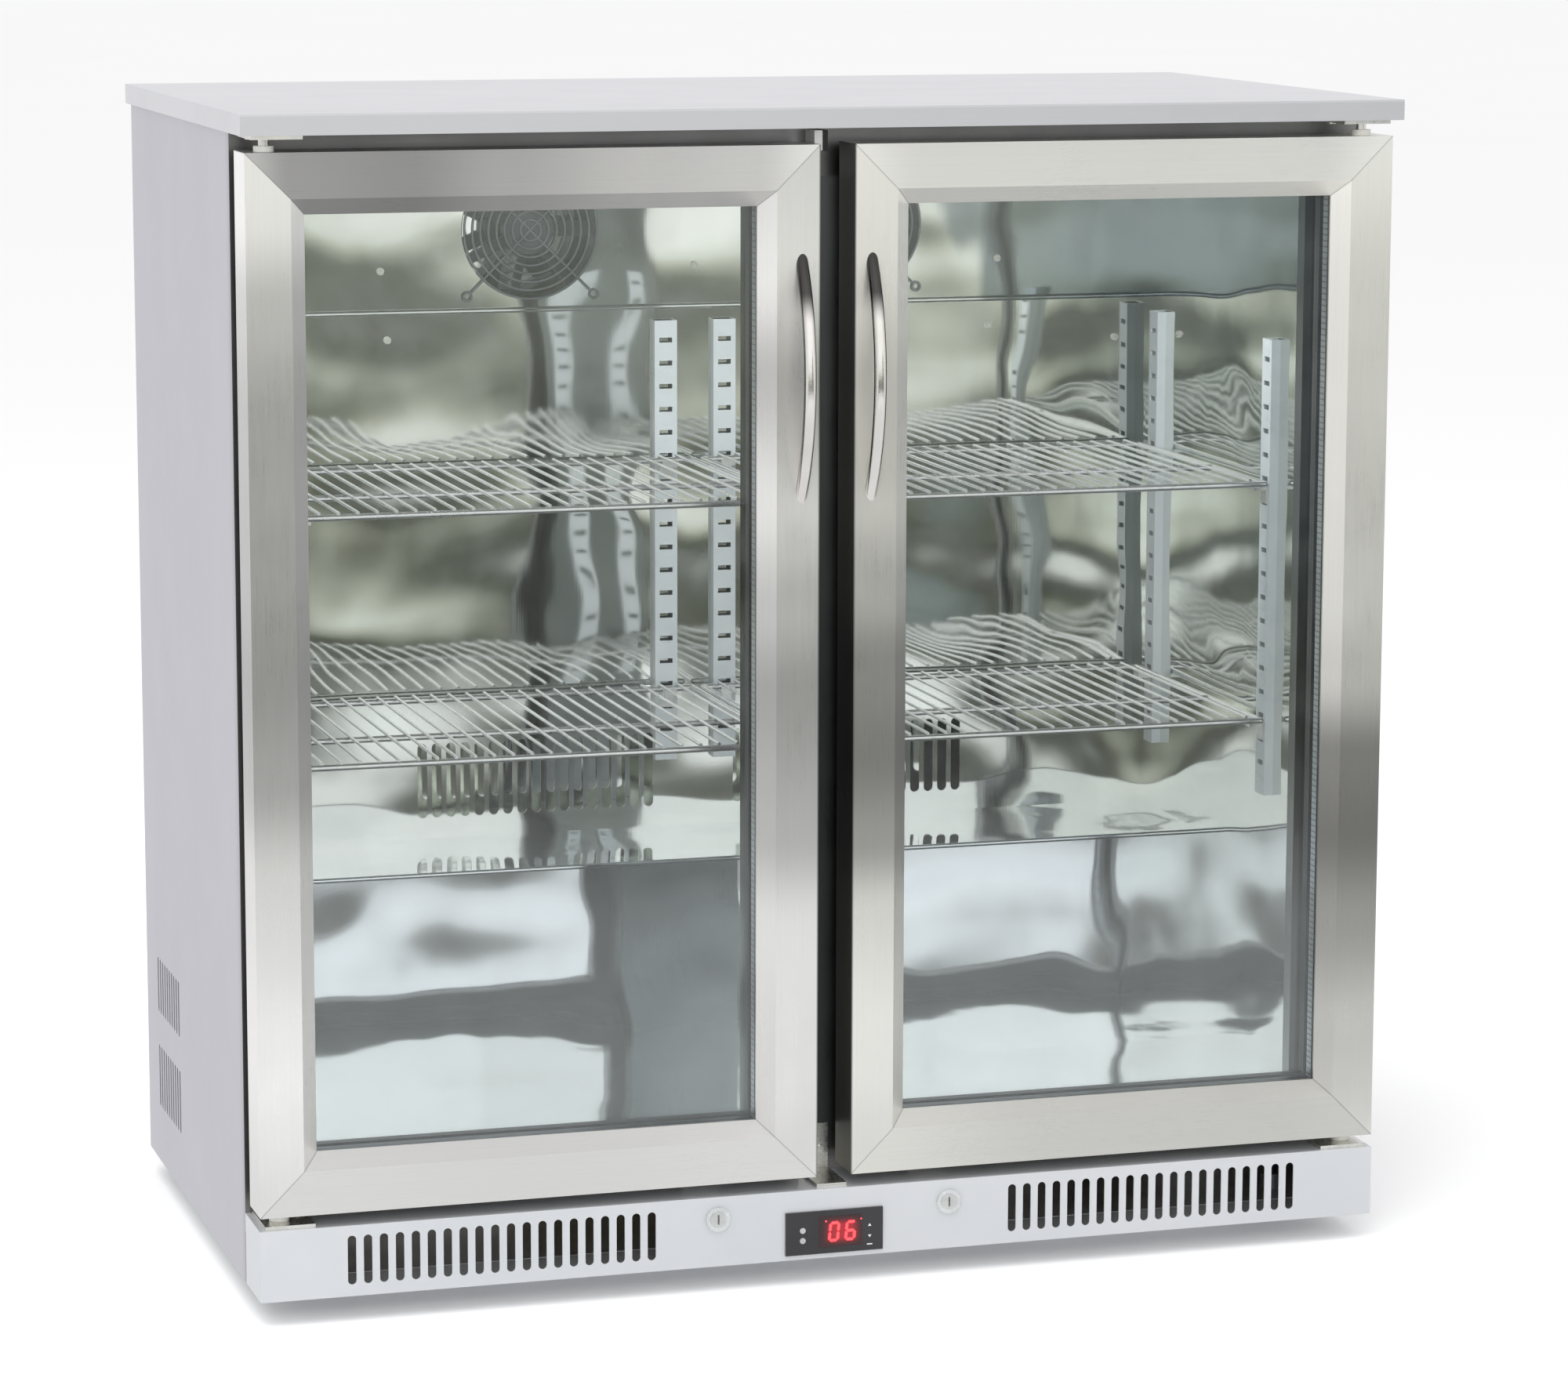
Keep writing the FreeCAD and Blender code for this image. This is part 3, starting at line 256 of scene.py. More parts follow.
def brushed_finish(m, fine_at, coarse_at, tangent, masks, base, rough, aniso, streak, metal, wear):
    """Streaks, masks and smudges in the colour; masks are levels multiplied in."""
    fine = m.noise(at=fine_at, detail=3.0, rough=0.65)
    coarse = m.noise(at=coarse_at, rough=0.6)
    smudge = m.noise(scale=14.0, detail=4.0, rough=0.6)
    streaks = m.add(m.swing(fine, amount=streak * 1.2), m.swing(coarse, amount=streak * 0.8))
    worn = m.span(smudge, over=(0.35, 0.75), to=(1.0, 1.0 - wear))
    level = m.times(m.add(streaks, 1.0), *masks, worn)
    gloss = m.span(smudge, over=(0.3, 0.8), to=(rough - 0.02, rough + 0.05))
    return m.principled(color=m.tint(level, base), metal=metal, aniso=aniso, tangent=tangent,
                        rough=m.add(m.swing(fine, amount=0.16), gloss),
                        normal=m.bump(fine, distance=0.00001, strength=0.5))


def brushed(name, grain, base, rough, streak, aniso=0.6, metal=1.0, bands=0.0, shade=None,
            wear=0.02):
    """Brushed sheet; grain is the axis the brushing runs along."""
    m = new_material(name)
    band_scales, tangent = BANDS_AND_TANGENT[grain]
    masks = []
    if bands:
        slow = m.noise(at=along(m, grain, band_scales), detail=1.0)
        masks.append(m.span(slow, over=(0.3, 0.7), to=(1.0 - bands, 1.0 + bands * 0.4)))
    if shade:
        masks.append(shade(m, *m.sep()))
    return brushed_finish(m, along(m, grain, FINE_BRUSHING), along(m, grain, COARSE_BRUSHING),
                          m.comb(*tangent), masks, base, rough, aniso, streak, metal, wear)


def worktop_shade(m, x, y, z):
    """Painted shade: the front edge is a little darker below the top surface."""
    edge = m.times(m.math("LESS_THAN", y, -0.2335), m.math("LESS_THAN", z, 0.8985))
    return m.mix_float(edge, low=1.0, high=0.90)


def mullion_shade(m, x, y, z):
    """Painted shade and light: front web dark, darker to its middle and foot; behind it a bright
    web, dark sides.
    """
    off_middle = m.math("ABSOLUTE", m.add(x, 0.004))
    front = m.times(m.span(off_middle, over=(0.001, 0.016), to=(0.20, 0.75)),
                    m.span(z, over=(0.45, 0.86), to=(0.45, 1.0)))
    behind = m.span(m.math("ABSOLUTE", x), over=(0.0482, 0.0486), to=(1.05, 0.10))
    return m.mix_float(m.span(y, over=(-0.1660, -0.1645)), front, behind)


def side_panel_shade(m, x, y, z):
    """Painted shade: darker along the front edge."""
    return m.span(y, over=(-0.166, -0.150), to=(0.84, 1.0), smooth=True)


# Painted reflections: slow tone changes along the door members, as (place from 0 to 1, level):
# left and right stiles run upwards, top and bottom rails run towards +X.
LEFT_DOOR_PAINTED_REFLECTIONS = {
    "left": [(0.0, 0.92), (0.15, 1.12), (0.32, 0.98), (0.42, 0.62), (0.5, 0.55), (0.62, 0.66),
             (0.75, 0.68), (0.86, 0.84), (0.94, 1.22)],
    "right": [(0.0, 0.86), (0.12, 0.98), (0.25, 1.08), (0.34, 0.70), (0.48, 0.58), (0.56, 0.82),
              (0.66, 1.15), (0.78, 0.76), (0.88, 1.20), (1.0, 1.02)],
    "top": [(0.0, 0.62), (0.08, 0.40), (0.28, 0.35), (0.45, 0.48), (0.7, 0.64), (0.88, 0.71),
            (1.0, 0.96)],
    "bottom": [(0.0, 0.88), (0.5, 0.85), (1.0, 0.90)],
}
RIGHT_DOOR_PAINTED_REFLECTIONS = {
    "left": [(0.0, 0.88), (0.16, 1.08), (0.26, 0.95), (0.33, 0.50), (0.41, 0.35), (0.5, 0.45),
             (0.58, 0.78), (0.66, 1.02), (0.78, 0.94), (0.88, 1.22)],
    "right": [(0.0, 0.82), (0.12, 0.70), (0.22, 0.46), (0.31, 0.27), (0.39, 0.34), (0.47, 0.86),
              (0.55, 1.04), (0.85, 1.10), (1.0, 1.28)],
    "top": [(0.0, 1.0), (0.12, 0.86), (0.5, 0.88), (0.85, 0.92), (1.0, 1.12)],
    "bottom": [(0.0, 0.92), (0.4, 0.77), (0.8, 0.77), (1.0, 0.82)],
}


def from_edge(m, value, low, high):
    """Distance inwards from the nearer of two edges."""
    return m.subtract((high - low) / 2, m.distance(value, (low + high) / 2))


# Painted reflections: the level of the stile or rail at each place.
def door_painted_reflection(m, x, z, on_stile, x0, x1, tones):
    across = m.span(x, over=(x0, x1))
    height = m.span(z, over=(DOOR_BOTTOM, DOOR_TOP))

    def member(place, side):
        return m.ramp(place, tones[side], "EASE")

    stiles = m.mix(m.math("GREATER_THAN", across, 0.5),
                   member(height, "left"), member(height, "right"))
    rails = m.mix(m.math("GREATER_THAN", height, 0.5),
                  member(across, "bottom"), member(across, "top"))
    grey = m.node("ShaderNodeRGBToBW")
    m.put(grey.inputs[0], m.mix(on_stile, rails, stiles))
    return grey.outputs[0]


def door_steel(name, base, x0, x1, tones):
    """Door frame whose brushing turns at the mitres, with painted reflections along its members and
    painted shade in the gap between the doors.
    """
    m = new_material(name)
    x, _, z = m.sep()
    inset_x = from_edge(m, x, x0, x1)
    inset_z = from_edge(m, z, DOOR_BOTTOM, DOOR_TOP)
    on_stile = m.math("LESS_THAN", inset_x, inset_z)

    def turned(scales):
        return m.mix_vector(on_stile, along(m, "x", scales), along(m, "z", scales))

    mitre = m.span(m.distance(inset_x, inset_z), over=(0.0, 0.0009), to=(0.55, 1.0))
    # Painted shade on the faces in the gap between the doors.
    gap_painted_shade = m.span(m.math("ABSOLUTE", x), over=(0.0137, 0.0150), to=(0.25, 1.0))
    masks = [door_painted_reflection(m, x, z, on_stile, x0, x1, tones), m.times(mitre, gap_painted_shade)]
    tangent = m.mix_vector(on_stile, m.comb(0, 0, 1), m.comb(1, 0, 0))
    return brushed_finish(m, turned(FINE_BRUSHING), turned(COARSE_BRUSHING), tangent, masks,
                          base, rough=0.30, aniso=0.9, streak=0.08, metal=0.9, wear=0.01)


# ------------------------------------------------------------------ other metals
def polished_liner(name, low, high, painted_shade_from=None):
    """Mirror-finished thin sheet, slowly wavy, with a faint rolling grain.

    Given a start in x, painted shade makes the sheet dark at greater x.
    """
    m = new_material(name)
    wavy = m.noise(stretch=(5.0, 5.0, 7.5), detail=1.0, rough=0.4, distort=0.3)
    ripple = m.noise(stretch=(22.0, 22.0, 11.0), detail=1.0)
    grain = m.noise(stretch=(900.0, 900.0, 18.0), rough=0.6)
    haze = m.noise(scale=5.0, detail=3.0, rough=0.55)
    normal = m.bump(wavy, distance=0.0072)
    normal = m.bump(ripple, distance=0.00045, under=normal)
    normal = m.bump(grain, distance=0.000008, strength=0.5, under=normal)
    color = m.mix(m.span(haze, over=(0.35, 0.7)), low, high)
    if painted_shade_from is not None:
        # Painted shade: a dark blue-grey beyond the start in x, with a wavy edge.
        edge = m.add(m.sep()[0], m.span(wavy, over=(0.3, 0.7), to=(-0.008, 0.008)))
        dark = m.span(edge, over=(painted_shade_from - 0.006, painted_shade_from + 0.006), smooth=True)
        color = m.mix(dark, color, high=(0.29, 0.33, 0.345))
    rough = m.add(m.span(haze, over=(0.3, 0.75), to=(0.02, 0.055)), m.times(grain, 0.03))
    return m.principled(color=color, metal=1.0, rough=rough, normal=normal)


def galvanised():
    """Zinc spangle: each cell has its own tone and gloss."""
    m = new_material("galvanised")
    spangle = m.sep(m.voronoi(stretch=(60.0, 60.0, 60.0), out="Color"))[0]
    cloud = m.noise(scale=9.0, detail=4.0, rough=0.6)
    level = m.times(m.span(spangle, over=(0.0, 1.0), to=(0.86, 1.08)),
                    m.span(cloud, over=(0.3, 0.7), to=(0.9, 1.04)))
    return m.principled(color=m.tint(level, rgb=(0.56, 0.58, 0.60)), metal=0.9,
                        rough=m.span(spangle, over=(0.0, 1.0), to=(0.34, 0.52)),
                        normal=m.bump(spangle, distance=0.00004, strength=0.5))


def chrome_wire():
    m = new_material("chrome_wire")
    spots = m.noise(scale=260.0, detail=3.0, rough=0.6)
    dull = m.noise(scale=11.0)
    color = m.mix(m.span(spots, over=(0.55, 0.8)), low=(0.90, 0.91, 0.91), high=(0.72, 0.72, 0.70))
    rough = m.add(m.span(dull, over=(0.35, 0.7), to=(0.17, 0.27)), m.times(spots, 0.06))
    return m.principled(color=color, metal=0.82, rough=rough,
                        normal=m.bump(spots, distance=0.00003, strength=0.5))


def handle_nickel():
    """Fine polishing lines round the grip; painted shade at its rims and towards the top."""
    m = new_material("handle_nickel")
    z = m.sep()[2]
    lines = m.noise(stretch=(260.0, 260.0, 1600.0), rough=0.6)
    cloud = m.noise(scale=25.0, detail=3.0, rough=0.55)
    color = m.mix(m.span(cloud, over=(0.3, 0.75)), low=(0.70, 0.675, 0.63), high=(0.79, 0.77, 0.735))
    facing = m.node("ShaderNodeLayerWeight")
    facing.inputs["Blend"].default_value = 0.5
    # Painted shade: darker at the rims and at the top end of the grip.
    rim_painted_shade = m.span(facing.outputs["Facing"], over=(0.25, 0.85), to=(1.0, 0.30), smooth=True)
    top = m.span(z, over=(0.740, 0.764), to=(1.0, 0.10), smooth=True)
    rough = m.add(m.span(cloud, over=(0.3, 0.7), to=(0.11, 0.16)), m.times(lines, 0.05))
    return m.principled(color=m.tint(m.times(rim_painted_shade, top), color), metal=1.0, rough=rough,
                        normal=m.bump(lines, distance=0.000012, strength=0.5))


def cast_metal(name, base, rough, scale=300.0):
    """Pitted bright metal with darker stains."""
    m = new_material(name)
    pits = m.noise(scale=scale, detail=3.0, rough=0.6)
    stain = m.noise(scale=40.0, detail=3.0, rough=0.6)
    color = m.mix(m.span(stain, over=(0.4, 0.75)), base, tuple(c * 0.8 for c in base))
    return m.principled(color=color, metal=1.0,
                        rough=m.span(pits, over=(0.3, 0.7), to=(rough, rough + 0.14)),
                        normal=m.bump(pits, distance=0.00004, strength=0.5))


def fins():
    """Fin packs: dusty bright metal, slightly uneven."""
    m = new_material("fins")
    bend = m.noise(scale=30.0)
    dust = m.noise(scale=60.0, detail=4.0, rough=0.65)
    color = m.mix(m.span(dust, over=(0.45, 0.75)), low=(0.74, 0.75, 0.76), high=(0.45, 0.43, 0.40))
    return m.principled(color=color, metal=0.9,
                        rough=m.span(bend, over=(0.3, 0.7), to=(0.28, 0.5)),
                        normal=m.bump(bend, distance=0.0003, strength=0.5))


def copper():
    m = new_material("copper")
    tarnish = m.noise(scale=18.0, detail=5.0, rough=0.65, distort=0.4)
    grit = m.noise(scale=400.0)
    color = m.mix(m.span(tarnish, over=(0.4, 0.7)), low=(0.80, 0.42, 0.28), high=(0.36, 0.20, 0.13))
    return m.principled(color=color, metal=1.0,
                        rough=m.span(tarnish, over=(0.35, 0.7), to=(0.22, 0.5)),
                        normal=m.bump(grit, distance=0.00004, strength=0.4))


# ------------------------------------------------------------------ paint, foam, glass, lamps
def paint(name, dark, light, rough=0.35, coat=0.2, peel=700.0, depth=0.00003, metal=0.0,
          cloud=12.0):
    """Painted or moulded skin: two close tones, a fine texture (peel, depth), uneven gloss."""
    m = new_material(name)
    soft = m.noise(scale=cloud, stretch=(1, 1, 1), detail=3.0, rough=0.55)
    skin = m.noise(scale=peel, rough=0.55)
    gloss = m.span(soft, over=(0.3, 0.7), to=(rough - 0.04, rough + 0.05))
    return m.principled(color=m.mix(m.span(soft, over=(0.35, 0.7)), dark, light), metal=metal,
                        rough=m.add(gloss, m.swing(skin, amount=0.12)),
                        coat=coat, coat_rough=0.2,
                        normal=m.bump(skin, distance=depth, strength=0.6))


def foam_skin():
    m = new_material("foam")
    cells = m.voronoi(scale=420.0)
    cloud = m.noise(scale=14.0, detail=4.0, rough=0.6)
    color = m.mix(m.span(cloud, over=(0.3, 0.75)), low=(0.84, 0.76, 0.52), high=(0.72, 0.60, 0.34))
    return m.principled(color=color, rough=0.9,
                        normal=m.bump(cells, distance=0.0004, strength=0.7))


def clear_glass():
    """Thin float glass: faint green tint, grazing reflection, a barely seen film of dust."""
    m = new_material("clear_glass")
    normal = m.bump(m.noise(stretch=(6.0, 6.0, 6.0), detail=1.0), distance=0.00012)
    fresnel = m.node("ShaderNodeFresnel")
    fresnel.inputs["IOR"].default_value = 1.5
    m.put(fresnel.inputs["Normal"], normal)
    clear = m.node("ShaderNodeBsdfTransparent")
    m.put(clear.inputs["Color"], (0.989, 0.993, 0.990))
    shine = m.node("ShaderNodeBsdfGlossy")
    shine.inputs["Roughness"].default_value = 0.0
    patches = m.noise(scale=3.0, detail=3.0, rough=0.6)
    m.put(shine.inputs["Color"], m.mix(patches, low=(0.95, 1.0, 0.99), high=(0.85, 0.9, 0.9)))
    m.put(shine.inputs["Normal"], normal)
    body = m.mix_shader(m.times(fresnel.outputs[0], 1.0), clear.outputs[0], shine.outputs[0])
    dust = m.node("ShaderNodeBsdfDiffuse")
    m.put(dust.inputs["Color"], (0.8, 0.82, 0.82))
    specks = m.noise(scale=35.0, detail=5.0, rough=0.7)
    film = m.span(specks, over=(0.4, 0.9), to=(0.0, 0.018))
    return m.done(m.mix_shader(film, body, dust.outputs[0]))


def spacer_bar():
    """Anodised bar between the panes, with breather holes; painted shade darkens the level faces."""
    m = new_material("spacer_bar")
    dot = m.voronoi(stretch=(220.0, 0.0, 220.0), rand=0.0)
    hole = m.span(dot, over=(0.12, 0.2), to=(0.55, 1.0))
    cloud = m.noise(scale=20.0)
    normal_z = m.sep(m.node("ShaderNodeNewGeometry").outputs["Normal"])[2]
    # Painted shade on the level faces.
    flat = m.span(m.math("ABSOLUTE", normal_z), over=(0.5, 0.8), to=(1.0, 0.30))
    level = m.times(hole, flat, m.span(cloud, over=(0.3, 0.7), to=(0.92, 1.04)))
    return m.principled(color=m.tint(level, rgb=(0.70, 0.72, 0.75)), metal=0.7, rough=0.38,
                        normal=m.bump(hole, distance=0.0001, strength=0.5))


def window_red():
    """Smoked window lit from behind by the display."""
    m = new_material("window_red")
    x, _, z = m.sep()
    fade = {"to": (1.0, 0.0), "smooth": True}
    glow = m.times(m.span(m.distance(x, DISPLAY_X), over=(0.006, 0.0175), **fade),
                   m.span(m.distance(z, GLOW_Z), over=(0.004, 0.0125), **fade))
    grit = m.noise(scale=900.0, rough=0.6)
    return m.principled(color=m.mix(glow, low=(0.022, 0.004, 0.005), high=(0.10, 0.006, 0.008)),
                        rough=m.span(grit, over=(0.3, 0.7), to=(0.22, 0.32)), coat=0.15,
                        emit=m.mix(glow, low=(0.02, 0.0, 0.001), high=(0.30, 0.004, 0.010)),
                        emit_strength=m.times(m.add(glow, 0.12), 0.85),
                        normal=m.bump(grit, distance=0.00001, strength=0.3))


def led(name, rgb, strength):
    m = new_material(name)
    uneven = m.span(m.noise(scale=700.0), over=(0.3, 0.7), to=(strength * 0.85, strength * 1.1))
    return m.principled(color=rgb, rough=0.4, emit=rgb, emit_strength=uneven)


# ------------------------------------------------------------------ materials on the CAD pieces
finishes = {}


def use(material, names):
    for name in names.split():
        finishes[name] = material


use(brushed("steel_worktop", "x", base=(0.735, 0.735, 0.75), rough=0.36, aniso=0.4, streak=0.04,
            bands=0.02, shade=worktop_shade), "worktop")
# The front frame steel is dark: painted shade of the gap under the worktop.
use(brushed("steel_front_frame_painted_shade", "x", base=(0.30, 0.30, 0.295), rough=0.36, streak=0.08),
    "front_frame")
# The mullion steel is darkened: painted shade of the gap between the doors; mullion_shade adds more
# painted shade and light.
use(brushed("steel_mullion", "z", base=(0.42, 0.44, 0.44), rough=0.30, aniso=0.5, streak=0.08,
            bands=0.1, shade=mullion_shade), "centre_mullion")
use(door_steel("steel_door_left", base=(0.80, 0.79, 0.765), x0=-DOOR_OUTER, x1=-DOOR_INNER,
               tones=LEFT_DOOR_PAINTED_REFLECTIONS), "door_frame_left")
use(door_steel("steel_door_right", base=(0.80, 0.79, 0.74), x0=DOOR_INNER, x1=DOOR_OUTER,
               tones=RIGHT_DOOR_PAINTED_REFLECTIONS), "door_frame_right")
use(brushed("side_panel_silver", "z", base=(0.565, 0.56, 0.592), rough=0.42, aniso=0.25,
            streak=0.025, metal=0.9, bands=0.02, wear=0.006, shade=side_panel_shade),
    "side_panel_left side_panel_right")
use(paint("plinth_grey", dark=(0.50, 0.515, 0.535), light=(0.54, 0.55, 0.57), rough=0.34,
          coat=0.25, metal=0.25, cloud=5.0), "front_grille")
LINER_TONES = {"low": (0.78, 0.80, 0.765), "high": (0.86, 0.87, 0.85)}
use(polished_liner("polished_liner", **LINER_TONES), "liner_panels liner_back")
# The cover has painted shade at greater x.
use(polished_liner("polished_cover", **LINER_TONES, painted_shade_from=0.250), "evaporator_cover")
use(polished_liner("polished_step", low=(0.66, 0.69, 0.73), high=(0.72, 0.75, 0.79)),
    "compressor_step")
use(galvanised(), "rear_panel rear_grille base_pan")
use(foam_skin(), "insulation_foam")
use(paint("fan_plastic", dark=(0.040, 0.048, 0.060), light=(0.058, 0.068, 0.082), rough=0.42,
          coat=0.0, peel=500.0, depth=0.00005),
    "evaporator_fan_frames condenser_fan_frame evaporator_fan_left evaporator_fan_right "
    "condenser_fan")
use(chrome_wire(),
    "shelf_upper_left shelf_upper_right shelf_lower_left shelf_lower_right shelf_clips")
use(cast_metal("guard_wire", base=(0.36, 0.39, 0.42), rough=0.30, scale=400.0), "fan_guards")
use(paint("pilaster_white", dark=(0.72, 0.78, 0.82), light=(0.80, 0.85, 0.88), rough=0.3,
          coat=0.3, cloud=20.0), "shelf_pilasters")
use(fins(), "evaporator_coil condenser_coil")
use(paint("compressor_black", dark=(0.012, 0.012, 0.013), light=(0.03, 0.029, 0.027), rough=0.25,
          coat=0.5, peel=180.0, depth=0.0001), "compressor")
use(paint("rubber_dark", dark=(0.045, 0.045, 0.048), light=(0.07, 0.07, 0.072), rough=0.6,
          coat=0.0, peel=350.0, depth=0.00008),
    "compressor_grommets door_gasket_left door_gasket_right")
use(copper(), "refrigerant_pipes")
use(paint("tray_grey", dark=(0.20, 0.21, 0.22), light=(0.26, 0.27, 0.28), rough=0.5, coat=0.0,
          peel=300.0, depth=0.0001), "condensate_tray")
use(paint("cord_black", dark=(0.015, 0.015, 0.016), light=(0.03, 0.03, 0.03), rough=0.55,
          coat=0.0, peel=400.0, depth=0.0001), "power_cord")
use(cast_metal("zinc_steel", base=(0.80, 0.79, 0.74), rough=0.22), "hinge_brackets cabinet_screws")
use(cast_metal("lock_chrome", base=(0.80, 0.81, 0.80), rough=0.16, scale=500.0), "lock_housings")
use(cast_metal("lock_core", base=(0.74, 0.74, 0.72), rough=0.2, scale=500.0),
    "lock_plug_left lock_plug_right")
use(paint("controller_black", dark=(0.012, 0.011, 0.013), light=(0.020, 0.018, 0.021), rough=0.3,
          peel=900.0, depth=0.00002), "controller_housing")
use(window_red(), "display_window")
use(paint("button_pale", dark=(0.30, 0.30, 0.33), light=(0.42, 0.42, 0.45), rough=0.4),
    "button_up button_down")
use(paint("foot_black", dark=(0.02, 0.02, 0.021), light=(0.04, 0.04, 0.041), rough=0.55,
          coat=0.0, peel=350.0, depth=0.0001),
    "foot_front_left foot_front_right foot_rear_left foot_rear_right")
use(paint("door_plastic", dark=(0.045, 0.045, 0.047), light=(0.065, 0.066, 0.068), rough=0.45,
          coat=0.1), "door_core_left door_core_right")
use(clear_glass(), "door_glass_left door_glass_right")
use(spacer_bar(), "glass_spacer_left glass_spacer_right")
use(handle_nickel(), "door_handle_left door_handle_right")
use(paint("bush_nylon", dark=(0.78, 0.78, 0.72), light=(0.85, 0.85, 0.8), rough=0.4, coat=0.1),
    "pivot_bushes_left pivot_bushes_right")

for name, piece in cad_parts.items():
    piece.data.materials.clear()
    piece.data.materials.append(finishes[name])


# ------------------------------------------------------------------ pieces built here
def add_object(name, mesh, material):
    mesh.materials.append(material)
    made = bpy.data.objects.new(name, mesh)
    scene.collection.objects.link(made)
    return made


def plates(name, outlines, y_front, y_back, material, slot):
    """Closed flat pieces of the cabinet; each outline is a list of (x, z)."""
    bm = bmesh.new()
    for outline in outlines:
        front = [bm.verts.new((x, y_front, z)) for x, z in outline]
        back = [bm.verts.new((x, y_back, z)) for x, z in outline]
        bm.faces.new(front)
        bm.faces.new(list(reversed(back)))
        for i in range(len(outline)):
            j = (i + 1) % len(outline)
            bm.faces.new((front[i], back[i], back[j], front[j]))
    bmesh.ops.recalc_face_normals(bm, faces=bm.faces)
    mesh = bpy.data.meshes.new(name)
    bm.to_mesh(mesh)
    bm.free()
    made = add_object(name, mesh, material)
    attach(made, "cabinet")


def rectangle(x0, z0, x1, z1):
    return [(x0, z0), (x1, z0), (x1, z1), (x0, z1)]


def digit(centre_x, centre_z, lit):
    """Outlines of the hexagonal bars of one digit; lit names the segments a to g."""
    t = BAR_THICKNESS / 2
    w = DIGIT_WIDTH / 2 - t
    h = DIGIT_HEIGHT / 2 - t
    # Centre line of each bar: x0, z0, x1, z1
    bars = {"a": (-w, h, w, h), "g": (-w, 0, w, 0), "d": (-w, -h, w, -h),
            "f": (-w, 0, -w, h), "b": (w, 0, w, h), "e": (-w, -h, -w, 0), "c": (w, -h, w, 0)}
    outlines = []
    for segment in lit:
        x0, z0, x1, z1 = bars[segment]
        if z0 == z1:
            x0, x1 = x0 + BAR_GAP, x1 - BAR_GAP
            points = [(x0, z0), (x0 + t, z0 + t), (x1 - t, z0 + t),
                      (x1, z0), (x1 - t, z0 - t), (x0 + t, z0 - t)]
        else:
            z0, z1 = z0 + BAR_GAP, z1 - BAR_GAP
            points = [(x0, z0), (x0 + t, z0 + t), (x0 + t, z1 - t),
                      (x0, z1), (x0 - t, z1 - t), (x0 - t, z0 + t)]
        outlines.append([(centre_x + x + DIGIT_LEAN * z, centre_z + z) for x, z in points])
    return outlines


def mark_triangle(z, up):
    """Triangle pointing up (1) or down (-1)."""
    base = z - up * TRIANGLE_BASE
    return [(MARK_X - TRIANGLE_HALF, base), (MARK_X + TRIANGLE_HALF, base),
            (MARK_X, z + up * TRIANGLE_TIP)]


window_low, window_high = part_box("display_window")
controller_low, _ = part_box("controller_housing")
digit_z = (window_low.z + window_high.z) / 2
on_window = {"y_front": window_low.y - 0.00012, "y_back": window_low.y + 0.0001,
             "slot": "window_red"}

plates("display_digits",
       digit(DISPLAY_X - DIGIT_PITCH / 2, digit_z, "abcdef")
       + digit(DISPLAY_X + DIGIT_PITCH / 2, digit_z, "acdefg"),
       material=led("digit_red", rgb=(1.0, 0.02, 0.025), strength=5.5), **on_window)
plates("controller_marks",
       [mark_triangle(UP_MARK_Z, up=1), mark_triangle(DOWN_MARK_Z, up=-1),
        rectangle(MARK_X - BAR_HALF, BAR_BOTTOM, MARK_X + BAR_HALF, BAR_TOP)],
       y_front=controller_low.y - 0.0001, y_back=controller_low.y + 0.0002,
       material=paint("mark_pale", dark=(0.55, 0.55, 0.58), light=(0.62, 0.62, 0.64), rough=0.5,
                      coat=0.0), slot="button_pale")
plates("display_lamps",
       [[(0.0205, 0.0490), (0.0221, 0.0490), (0.0213, 0.0504)],
        rectangle(x0=-0.0075, z0=0.0488, x1=-0.0063, z1=0.0500)],
       material=led("lamp_red", rgb=(1.0, 0.05, 0.05), strength=2.5), **on_window)

# A white block and a black one beside it, near the top of the gap between the doors
plates("gap_block", [rectangle(x0=-0.0080, z0=0.8655, x1=-0.0018, z1=0.8805)],
       y_front=-0.1905, y_back=-0.1672,
       material=paint("block_white", dark=(0.78, 0.78, 0.76), light=(0.86, 0.86, 0.84), rough=0.4,
                      coat=0.1), slot="pilaster_white")
plates("gap_block_shoe", [rectangle(x0=-0.0016, z0=0.8650, x1=0.0026, z1=0.8805)],
       y_front=-0.1900, y_back=-0.1672,
       material=paint("shoe_black", dark=(0.012, 0.012, 0.012), light=(0.025, 0.025, 0.025),
                      rough=0.5, coat=0.0), slot="rubber_dark")


# ------------------------------------------------------------------ floor and world
def floor(half=60.0):
    m = new_material("floor_pale")
    cloud = m.noise(scale=0.6)
    diffuse = m.node("ShaderNodeBsdfDiffuse")
    m.put(diffuse.inputs["Color"], m.mix(cloud, low=(0.93,) * 3, high=(0.945,) * 3))
    mesh = bpy.data.meshes.new("floor")
    mesh.from_pydata([(-half, -half, 0), (half, -half, 0), (half, half, 0), (-half, half, 0)],
                     [], [(0, 1, 2, 3)])
    made = add_object("floor", mesh, m.done(diffuse.outputs[0]))
    made.visible_glossy = False


# What polished metal sees towards the front, as (z of the direction, colour): a bright floor
# close by, a darker far end of the room, a bright ceiling
ROOM_LOW, ROOM_HEIGHT = -0.34, 0.44
ROOM = (
    (-0.340, (0.90, 0.93, 0.97)), (-0.280, (1.14, 1.17, 1.21)), (-0.240, (1.24, 1.26, 1.28)),
    (-0.208, (1.02, 1.03, 1.04)), (-0.190, (0.44, 0.44, 0.43)), (-0.172, (0.15, 0.15, 0.14)),
    (-0.150, (0.095, 0.098, 0.08)), (-0.128, (0.13, 0.133, 0.105)), (-0.106, (0.36, 0.365, 0.31)),
    (-0.086, (0.62, 0.63, 0.55)), (-0.062, (0.94, 0.95, 0.90)), (-0.030, (1.15, 1.15, 1.13)),
    (0.100, (1.25, 1.25, 1.25)),
)


